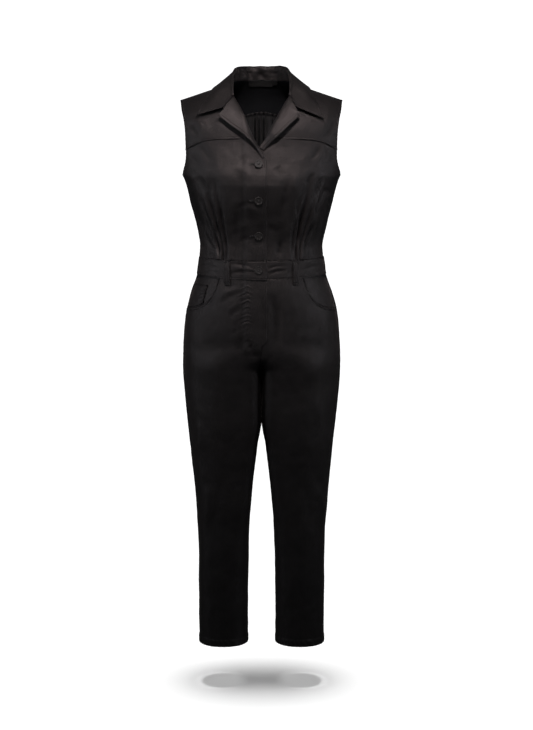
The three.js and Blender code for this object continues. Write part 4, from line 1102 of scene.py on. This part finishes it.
def legPointAt(side, back, across, height):
    ring = legRing(height, back)
    share = np.clip((np.abs(across) - ring["centre"]) / ring["radius"], -1, 1)
    softer = 1 - 0.14 * partedAt(height, back) * ease((height + 820) / 180)
    flatness = lerp(1, innerFlatness, ease((height - innerRoundHeight) / innerFadeLength))
    squarer = np.where(share < 0, flatness, softer)
    depth = np.maximum(ring["depth"] * ringDepth(share, ring["power"] * squarer), seam / 2)
    return np.stack([side * across, depth if back else -depth, height + 0 * across], -1)


def legAcross(height, share, back, extra=0):
    ring = legRing(height, back)
    start = np.where(extra > 0.01,
                     np.degrees(np.arcsin(np.clip((-extra - ring["centre"]) / ring["radius"], -1, 1))),
                     ring["innerAngle"])
    return ring["centre"] + ring["radius"] * np.sin(np.radians(lerp(start, 90, share)))


def legOutward(side, back, points):
    ring = legRing(points[..., 2], back)
    centre = side * np.where(points[..., 2] > crotch, ring["centre"] * 0.6, ring["centre"])
    return unit(np.stack([points[..., 0] - centre, points[..., 1], 0 * centre], -1))


def pocketHeight(across):
    return read(pocketCurve, across)["height"]


def pocketEdge(u):
    waistAcross = legAcross(-430 + 0 * u, u, False)
    across = waistAcross * (1 + 0.15 * ease((u - 0.5) / 0.5))
    return np.where(waistAcross <= pocketCurve["rows"][0, 0], 0.0, pocketHeight(across))


def bandSeamAt(u, back, drop):
    waistAcross = legAcross(-425 + 0 * u, u, back)
    angle = angleAt(waistAcross, -425)
    return waistHeight(angle, back) - bandHeight(angle, back) - drop


# Long soft ridges and hollows of the trousers, from x, z to x, z
frontLegCreases = {
    -1: [
        (-148, -749, -154, -856, -1.6, 9), (-124, -900, -142, -1030, -2.0, 10),
        (-100, -880, -120, -1010, 1.4, 12),
        (-98, -482, -44, -452, 1.0, 7), (-104, -470, -42, -441, -0.9, 6), (-76, -512, -40, -486, 0.8, 6),
        (-82, -500, -42, -472, -0.7, 6), (-64, -532, -39, -512, 0.7, 6), (-66, -548, -40, -530, 0.6, 6),
        (-92, -432, -60, -446, 0.8, 8), (-60, -1060, -70, -1200, -1.0, 12), (-38, -560, -4, -628, 1.6, 8),
        (-140, -1080, -136, -1240, 0.8, 10), (-2, -446, 0, -592, 1.5, 9), (-60, -660, -12, -700, 0.5, 14),
        (-46, -552, -60, -600, 0.9, 10),
    ],
    1: [
        (126, -691, 128, -907, -1.8, 10), (128, -907, 146, -1025, -2.0, 9), (152, -771, 154, -842, -1.3, 8),
        (100, -900, 112, -1020, 1.3, 12), (24, -452, 28, -590, 3.2, 13), (22, -598, 4, -624, 1.4, 7),
        (62, -1060, 72, -1210, -1.0, 12), (56, -668, 14, -704, 0.5, 14),
        (140, -1070, 134, -1230, 0.8, 10), (96, -432, 70, -440, 0.8, 8),
    ],
}
backLegCreases = {
    -1: [(-20, -470, -100, -520, 1.2, 13), (-24, -610, -110, -640, 2.6, 12),
         (-22, -640, -100, -690, 2.2, 12),
         (-18, -670, -60, -720, 1.6, 10), (-60, -900, -120, -930, 1.6, 14),
         (-130, -880, -70, -960, 1.4, 14),
         (-95, -980, -100, -1200, -1.0, 14)],
    1: [(22, -474, 104, -524, 1.2, 13), (26, -606, 112, -640, 2.5, 12), (20, -642, 96, -694, 2.2, 12),
        (18, -672, 64, -716, 1.6, 10), (58, -905, 124, -928, 1.6, 14), (128, -886, 72, -956, 1.4, 14),
        (96, -980, 102, -1200, -1.0, 14)],
}


# Puckers that the fly's curved stitching draws up
def flyPucker(points):
    x, z = points[..., 0], points[..., 2]
    line = flyLine(z)
    inside = ease((z + 590) / 16) * ease((-428 - z) / 10)
    slant = z + 0.45 * np.abs(x - line)
    ripple = np.sin(slant * 2 * np.pi / 11.5 + 2.1 * np.sin(z * 0.037) + 0.8 * np.sin(z * 0.11))
    ripple = ripple + 0.6 * np.sin(slant * 2 * np.pi / 6.3 + 1.4 * np.sin(z * 0.06))
    uneven = 0.45 + 0.55 * np.sin(z * 0.052 + 1.1) ** 2
    reach = np.where(x < line, 12 + 7 * np.sin(z * 0.045) ** 2, 8.5)
    near = np.exp(-(((x - line) / reach) ** 2))
    groove = stitchGroove(np.abs(x - line), 0, 0.7) + stitchGroove(np.abs(x - line - 6), 0, 0.45)
    return inside * (0.5 * uneven * ripple * near + groove)


def flyLine(z):
    low = np.clip((-552 - z) / 36, 0, 1)
    return -31.5 + 26 * low**2.2


def addFrontLeg(side):
    u = spread((0, 0.08, 16), (0.08, 0.4, 42), (0.4, 0.85, 54), (0.85, 1, 16))
    v = spread((0, 0.03, 12), (0.03, 0.2, 76), (0.2, 0.95, 180), (0.95, 1, 22))
    U, V = np.meshgrid(u, v)
    bandSeam = bandSeamAt(U, False, 0)
    opening = pocketEdge(U)
    onPocket = opening < bandSeam
    top = np.where(onPocket, opening, bandSeam)
    height = np.where(V < 0.2, lerp(top, -525, V / 0.2), lerp(-525, hem, (V - 0.2) / 0.8))
    under = [(0.5, -0.7), (1.8, -1.6), (4, -1.7)]
    height, dive = runUnder(np.flip(height, 0), (), under, np.where(onPocket[:1], 0.12, 1.0))
    height, dive = np.flip(height, 0), np.flip(dive, 0)
    U, V, bandSeam, top, onPocket = (repeatRows(a, under, ()) for a in (U, V, bandSeam, top, onPocket))
    reach = (placketEdge if side < 0 else 12) * ease((height - flyEnd + 14) / 14)
    across = legAcross(height, U, False, reach)
    base = legPointAt(side, False, across, height)
    out = legOutward(side, False, base)
    n = gridNormals(base, out)
    away = dive + overlapLift(side, across) * ease((height - flyEnd + 34) / 14)
    away = away + creaseOffset(base, frontLegCreases[side])
    calm = ease((height - hem) / 40) * 0.75 + 0.25
    innerThigh = 1 - 0.85 * ease((34 - across) / 26) * ease((-600 - height) / 40)
    away = away + calm * innerThigh * (waver(base, 1.5, 75, 31 + side) + waver(base, 0.4, 22, 34 + side))
    if side < 0:
        away = away + flyPucker(base)
    drop = np.maximum(top - height, 0)
    away = away + pucker(np.where(onPocket, drop, 99), base[..., 0] + base[..., 2], 0.25, 8, 7)
    away = away + pucker(np.where(onPocket, 99, drop), base[..., 0], 0.25, 9, 8)
    away = away + hemShape(height, base, side)
    topDistance = edgeDistance(base, "bottom", len(under))
    for inset in (2.0, 8.0):
        away = away + stitchGroove(topDistance, inset, 0.55) * onPocket
    if side < 0:
        away = away + stitchGroove(edgeDistance(base, "left"), 2.5) * ease((height - flyEnd) / 10)
    points = base + n * away[..., None]
    name = sideNames[side]
    x = base[..., 0]
    # Painted shade between the legs, deepest at the middle, fading in below a height of -585
    legGapShade = 0.4 * np.exp(-((x / 32) ** 2)) + 0.35 * np.exp(-((x / 9) ** 2))
    legGapShade = legGapShade * ease((-585 - height) / 60)
    clothPiece(f"{name}FrontLegCloth", f"{name}_front_leg", points, n, wall=1.1,
               extraShade=1 - legGapShade)
    edge = np.flatnonzero(onPocket[0])
    for inset in (2.0, 8.0):
        sewLine(*lineAlong(points[:, edge], n[:, edge], "bottom", inset, len(under)))
    sewLine(*lineAlong(points, n, "top", hemTurn - 1.5))
    if side < 0:
        fly = points[:110]
        for shift in (0, 6):
            off = fly[..., 0] - flyLine(fly[..., 2]) - shift
            rows = [i for i in range(len(under) + 2, 110) if fly[i, 0, 2] > -586]
            picked = [(i, int(np.argmin(np.abs(off[i])))) for i in rows]
            sewLine(np.array([fly[i, j] for i, j in picked]), np.array([n[i, j] for i, j in picked]))


# A turned hem: a step above its stitching, small twists in it, and a slight flare
def hemShape(height, base, side):
    step = 1.0 * ease((hem + hemTurn + 1.2 - height) / 2.4)
    rope = 0.35 * np.sin((base[..., 0] - base[..., 1]) * 0.55 + (height - hem) * 0.25)
    dip = -0.6 * np.exp(-(((height - hem - hemTurn + 1) / 1.6) ** 2))
    return step + dip + rope * ease((hem + hemTurn - height) / 3)


def addBackLeg(side):
    u = np.linspace(0, 1, 84)
    v = spread((0, 0.14, 34), (0.14, 0.95, 170), (0.95, 1, 22))
    U, V = np.meshgrid(u, v)
    top = bandSeamAt(U, True, 0)
    height = np.where(V < 0.14, lerp(top, -525, V / 0.14), lerp(-525, hem, (V - 0.14) / 0.86))
    height, dive = runUnder(np.flip(height, 0), (), underBand)
    height, dive = np.flip(height, 0), np.flip(dive, 0)
    U, V, top = (repeatRows(a, underBand, ()) for a in (U, V, top))
    across = legAcross(height, U, True)
    base = legPointAt(side, True, across, height)
    out = legOutward(side, True, base)
    n = gridNormals(base, out)
    calm = ease((height - hem) / 40) * 0.75 + 0.25
    innerThigh = 1 - 0.85 * ease((34 - across) / 26) * ease((-600 - height) / 40)
    away = dive + creaseOffset(base, backLegCreases[side])
    away = away + calm * innerThigh * (waver(base, 1.8, 75, 41 + side) + waver(base, 0.4, 22, 44 + side))
    away = away + pucker(np.maximum(top - height, 0), base[..., 0], 0.25, 9, 8)
    away = away + hemShape(height, base, side)
    points = base + n * away[..., None]
    name = sideNames[side]
    clothPiece(f"{name}BackLegCloth", f"{name}_back_leg", points, n, wall=1.1)
    sewLine(*lineAlong(points, n, "top", hemTurn - 1.5))


def addPocketFacing(side):
    U, V = np.meshgrid(np.linspace(0.42, 1, 60), np.linspace(0, 1, 44))
    top = bandSeamAt(U, False, -3)
    opening = pocketEdge(U)
    bottom = np.where(opening < 0, opening, top) - 16
    height = lerp(top, bottom, V)
    base = legPointAt(side, False, legAcross(height, U, False), height)
    out = legOutward(side, False, base)
    away = -facingDepth + waver(base, 0.5, 26, 51 + side) * ease((1 - V) / 0.3)
    name = sideNames[side]
    clothPiece(f"{name}PocketFacingCloth", f"{name}_pocket_facing", base + out * away[..., None], out)


def addCoinPocket():
    U, V = np.meshgrid(np.linspace(coinPocket["from"], coinPocket["to"], 44), np.linspace(0, 1, 44))
    height = lerp(coinPocket["top"], pocketEdge(U) + 0.8, V)
    base = legPointAt(-1, False, legAcross(height, U, False), height)
    out = legOutward(-1, False, base)
    away = coinPocket["wall"] + coinPocket["off"] - facingDepth
    away = away + pucker((U - coinPocket["from"]) * 120, height, 0.9, 5, 9)
    away = away + pucker(V * 50, base[..., 0] * 1.4, 0.3, 4, 7) + waver(base, 0.8, 12, 55)
    lines = [("left", 2), ("bottom", 2)]
    away = pressRows(away, base, lines, 0.6)
    points = base + out * away[..., None]
    clothPiece("coinPocketCloth", "coin_pocket", points, out, wall=0.9)
    sewRows(points, out, lines)


beltLoops = [
    ("right_front", -1, False, 31.6), ("left_front", 1, False, 31.6), ("right_back", -1, True, 42),
    ("left_back", 1, True, 42), ("centre_back", 1, True, 0),
]
loopProfile = table("down off", [(0, 2.8), (7, 3.6), (20, 5), (34, 4.9), (45, 3.8), (58, 2.3)])
loopTop = -379
loopHalfWidth = 6.2


def loopPoint(side, back, angle, across, down):
    centre = acrossAt(angle, -402)
    height = loopTop - down
    real = centre + across
    point = bodyPoint(np.where(real < 0, -side, side), back, np.abs(real), height)
    middle = bodyPoint(side, back, centre, height)
    out = unit(np.stack([middle[..., 0] * 0.9, middle[..., 1] * 1.6, 0 * height], -1))
    return point + out * np.asarray(read(loopProfile, down)["off"])[..., None], out


def addBeltLoop(name, side, back, angle):
    X, V = np.meshgrid(np.linspace(-1, 1, 15), np.linspace(0, 1, 44))
    points, out = loopPoint(side, back, angle, X * loopHalfWidth, V * 58)
    ridge = 0.28 * np.cos(X * math.pi * 2) - 0.35 * (np.abs(X) > 0.95)
    press = -0.5 * (np.exp(-(((V - 0.06) / 0.05) ** 2)) + np.exp(-(((V - 0.93) / 0.05) ** 2)))
    points = points + out * (ridge + press)[..., None]
    parts = name.split("_")
    clothPiece(f"{parts[0]}{parts[1].title()}BeltLoopCloth", f"{name}_belt_loop", points, out, wall=1.3)
    sewRows(points, out, [("left", 2.6), ("right", 2.6)])
    for row in (3, 5, 38, 40):
        tackLine(points[row], out[row])


def addLabel(name, node, start, stop, drop):
    columns = np.linspace(start, stop, max(int((stop - start) / 1.6), 6))
    A, V = np.meshgrid(columns, np.linspace(0, 1, 16))
    top = backNeckHeight(angleAt(np.abs(A), 0)) - 0.6
    height = top + 2.5 - V * drop
    side = np.where(A < 0, -1.0, 1.0)
    base = bodyPoint(side, True, np.abs(A), height)
    n = gridNormals(base, awayFromAxis(base))
    away = -1.7 - 0.5 * ease(V) + waver(base, 0.4, 14, 61)
    clothPiece(name, node, base + n * away[..., None], n, wall=0.6, material=tape, slot="labels")


addLowerFront(-1)
addLowerFront(1)
addFrontYoke(-1)
addFrontYoke(1)
addBackYoke()
addBack()
print("bodice: fronts, yokes and back")
addLapel(-1)
addLapel(1)
addCollar()
print("collar and lapels")
addWaistbands()
for loop in beltLoops:
    addBeltLoop(*loop)
print("waistband and belt loops")
for side in (-1, 1):
    addFrontLeg(side)
    addBackLeg(side)
    addPocketFacing(side)
addCoinPocket()
print("trousers and pockets")
addLabel("neckLabelTape", "neck_label", -31, 26.5, 12.5)
addLabel("sizeTabTape", "size_tab", 27.2, 38, 10.5)

holeLines = []
buttonHoleReach = 21
buttonHoleLength = 17
buttonHeights = [-162, -243, -323.5, -402.5]


# The thread crossed through each button's holes, and the worked buttonhole beside it
def addFastening(number, height):
    button = bpy.data.objects[f"button_{number}"]
    button.data.materials.clear()
    button.data.materials.append(horn)
    corners = np.array([list(button.matrix_world @ Vector(c)) for c in button.bound_box]) / mm
    centre = (corners.min(0) + corners.max(0)) / 2
    normal = surfaceNormal(lambda a, h: bodyPoint(-1, False, a, h),
                           np.array(-buttonLine), np.array(height), 6.0)
    right = unit(np.cross(np.array([0, 0, 1.0]), normal))
    up = np.cross(normal, right)
    face = centre + normal * 0.7
    for way in (right + up, right - up):
        ends = np.array([face - unit(way) * 2.2, face + unit(way) * 2.2])
        tackLine(ends, np.array([normal, normal]))
    start = centre - normal * 1.3 - np.array([buttonHoleReach, 0, 0])
    for row in (-1.1, 1.1):
        line = np.array([start + up * row, start + up * row + np.array([buttonHoleLength, 0, 0])])
        holeLines.append((line, np.array([normal, normal])))


for number, height in enumerate(buttonHeights, 1):
    addFastening(number, height)
makeStitches("topStitching", sewn, 3.1, 2.5, 0.36)
makeStitches("barTacks", tacks, 0.9, 1.9, 0.4, across=True)
makeStitches("buttonholeStitches", holeLines, 0.7, 1.7, 0.38, across=True)
print("labels, buttons and stitching")

# The floor, the backdrop, the lights and the camera

floorDrop = 103  # the garment hangs this far above the paper


def addStage():
    floorHeight = (hem - floorDrop) * mm
    white = bpy.data.materials.new("paperWhite")
    white.use_nodes = True
    shader = white.node_tree.nodes["Principled BSDF"]
    shader.inputs["Base Color"].default_value = (0.94, 0.94, 0.94, 1)
    shader.inputs["Roughness"].default_value = 0.95
    shader.inputs["Specular IOR Level"].default_value = 0
    shader.inputs["Emission Color"].default_value = (1, 1, 1, 1)
    shader.inputs["Emission Strength"].default_value = 0.27
    bm = bmesh.new()
    bmesh.ops.create_grid(bm, x_segments=2, y_segments=2, size=14)
    mesh = bpy.data.meshes.new("floor")
    bm.to_mesh(mesh)
    bm.free()
    floor = bpy.data.objects.new("floor", mesh)
    for vertex in mesh.vertices:
        vertex.co.z = floorHeight
    mesh.materials.append(white)
    bpy.context.collection.objects.link(floor)
    floor.visible_diffuse = False
    floor.visible_glossy = False
    world = bpy.data.worlds.new("studio")
    bpy.context.scene.world = world
    world.use_nodes = True
    back = world.node_tree.nodes["Background"]
    back.inputs["Color"].default_value = (1, 1, 1, 1)
    back.inputs["Strength"].default_value = 0.02
    paper = bpy.data.materials.new("litPaper")
    paper.use_nodes = True
    shader = paper.node_tree.nodes["Principled BSDF"]
    shader.inputs["Base Color"].default_value = (1, 1, 1, 1)
    shader.inputs["Emission Color"].default_value = (1, 1, 1, 1)
    shader.inputs["Emission Strength"].default_value = 1.2
    bm = bmesh.new()
    bmesh.ops.create_grid(bm, x_segments=2, y_segments=2, size=14)
    bmesh.ops.rotate(bm, verts=bm.verts, matrix=Matrix.Rotation(math.pi / 2, 3, "X"))
    bmesh.ops.translate(bm, verts=bm.verts, vec=(0, 9, 0))
    mesh = bpy.data.meshes.new("backdrop")
    bm.to_mesh(mesh)
    bm.free()
    mesh.materials.append(paper)
    backdrop = bpy.data.objects.new("backdrop", mesh)
    bpy.context.collection.objects.link(backdrop)
    for way in ("visible_diffuse", "visible_glossy", "visible_transmission", "visible_shadow"):
        setattr(backdrop, way, False)


def addArea(name, place, target, size, power, colour=(1, 1, 1)):
    light = bpy.data.lights.new(name, "AREA")
    light.shape = "RECTANGLE"
    light.size, light.size_y = size
    light.energy = power
    light.color = colour
    lamp = bpy.data.objects.new(name, light)
    lamp.location = place
    lamp.rotation_euler = (Vector(target) - Vector(place)).to_track_quat("-Z", "Y").to_euler()
    bpy.context.collection.objects.link(lamp)
    lamp.light_linking.receiver_collection = garmentLit
    return lamp


garmentLit = bpy.data.collections.new("litByFrontLights")
for piece in bpy.data.objects:
    if piece.type == "MESH":
        garmentLit.objects.link(piece)
addStage()
sun = bpy.data.lights.new("skyPanel", "SUN")
sun.energy = 3.0
sun.angle = math.radians(15)
sunLamp = bpy.data.objects.new("skyPanel", sun)
sunLamp.rotation_euler = (0, 0, 0)
bpy.context.collection.objects.link(sunLamp)
lit = bpy.data.collections.new("litByPanel")
lit.objects.link(bpy.data.objects["floor"])
sunLamp.light_linking.receiver_collection = lit
key = bpy.data.lights.new("keySpot", "SPOT")
key.energy = 88
key.color = (1.0, 0.9, 0.9)
key.spot_size = math.radians(33)
key.spot_blend = 1
key.shadow_soft_size = 0.08
keyLamp = bpy.data.objects.new("keySpot", key)
keyLamp.location = (0, -1.05, 1.05)
keyLamp.rotation_euler = (Vector((0, -0.1, -0.15)) - keyLamp.location).to_track_quat("-Z", "Y").to_euler()
bpy.context.collection.objects.link(keyLamp)
keyLamp.light_linking.receiver_collection = garmentLit
for side in (-1, 1):
    addArea("sideStrip", (side * 2.0, -0.9, 0.05), (0, 0, -0.35), (0.5, 1.1), 11, (0.88, 0.92, 1.0))
addArea("fill", (0, -4.5, 0.4), (0, 0, -0.7), (2.5, 2.5), 0.7, (0.86, 0.92, 1.0))
addArea("waistFill", (0, -1.9, -0.25), (0, 0, -0.26), (0.5, 0.3), 1.3, (0.95, 0.95, 1.0))

cameraData = bpy.data.cameras.new("camera")
cameraData.lens = 80
cameraData.sensor_width = 36
camera = bpy.data.objects.new("camera", cameraData)
camera.location = (0.0117, -3.8, -0.1)
camera.rotation_euler = (math.radians(90 - 8.012), 0, 0)
bpy.context.collection.objects.link(camera)
bpy.context.scene.camera = camera
bpy.context.scene.view_settings.view_transform = "Standard"
print("stage, lights and camera")
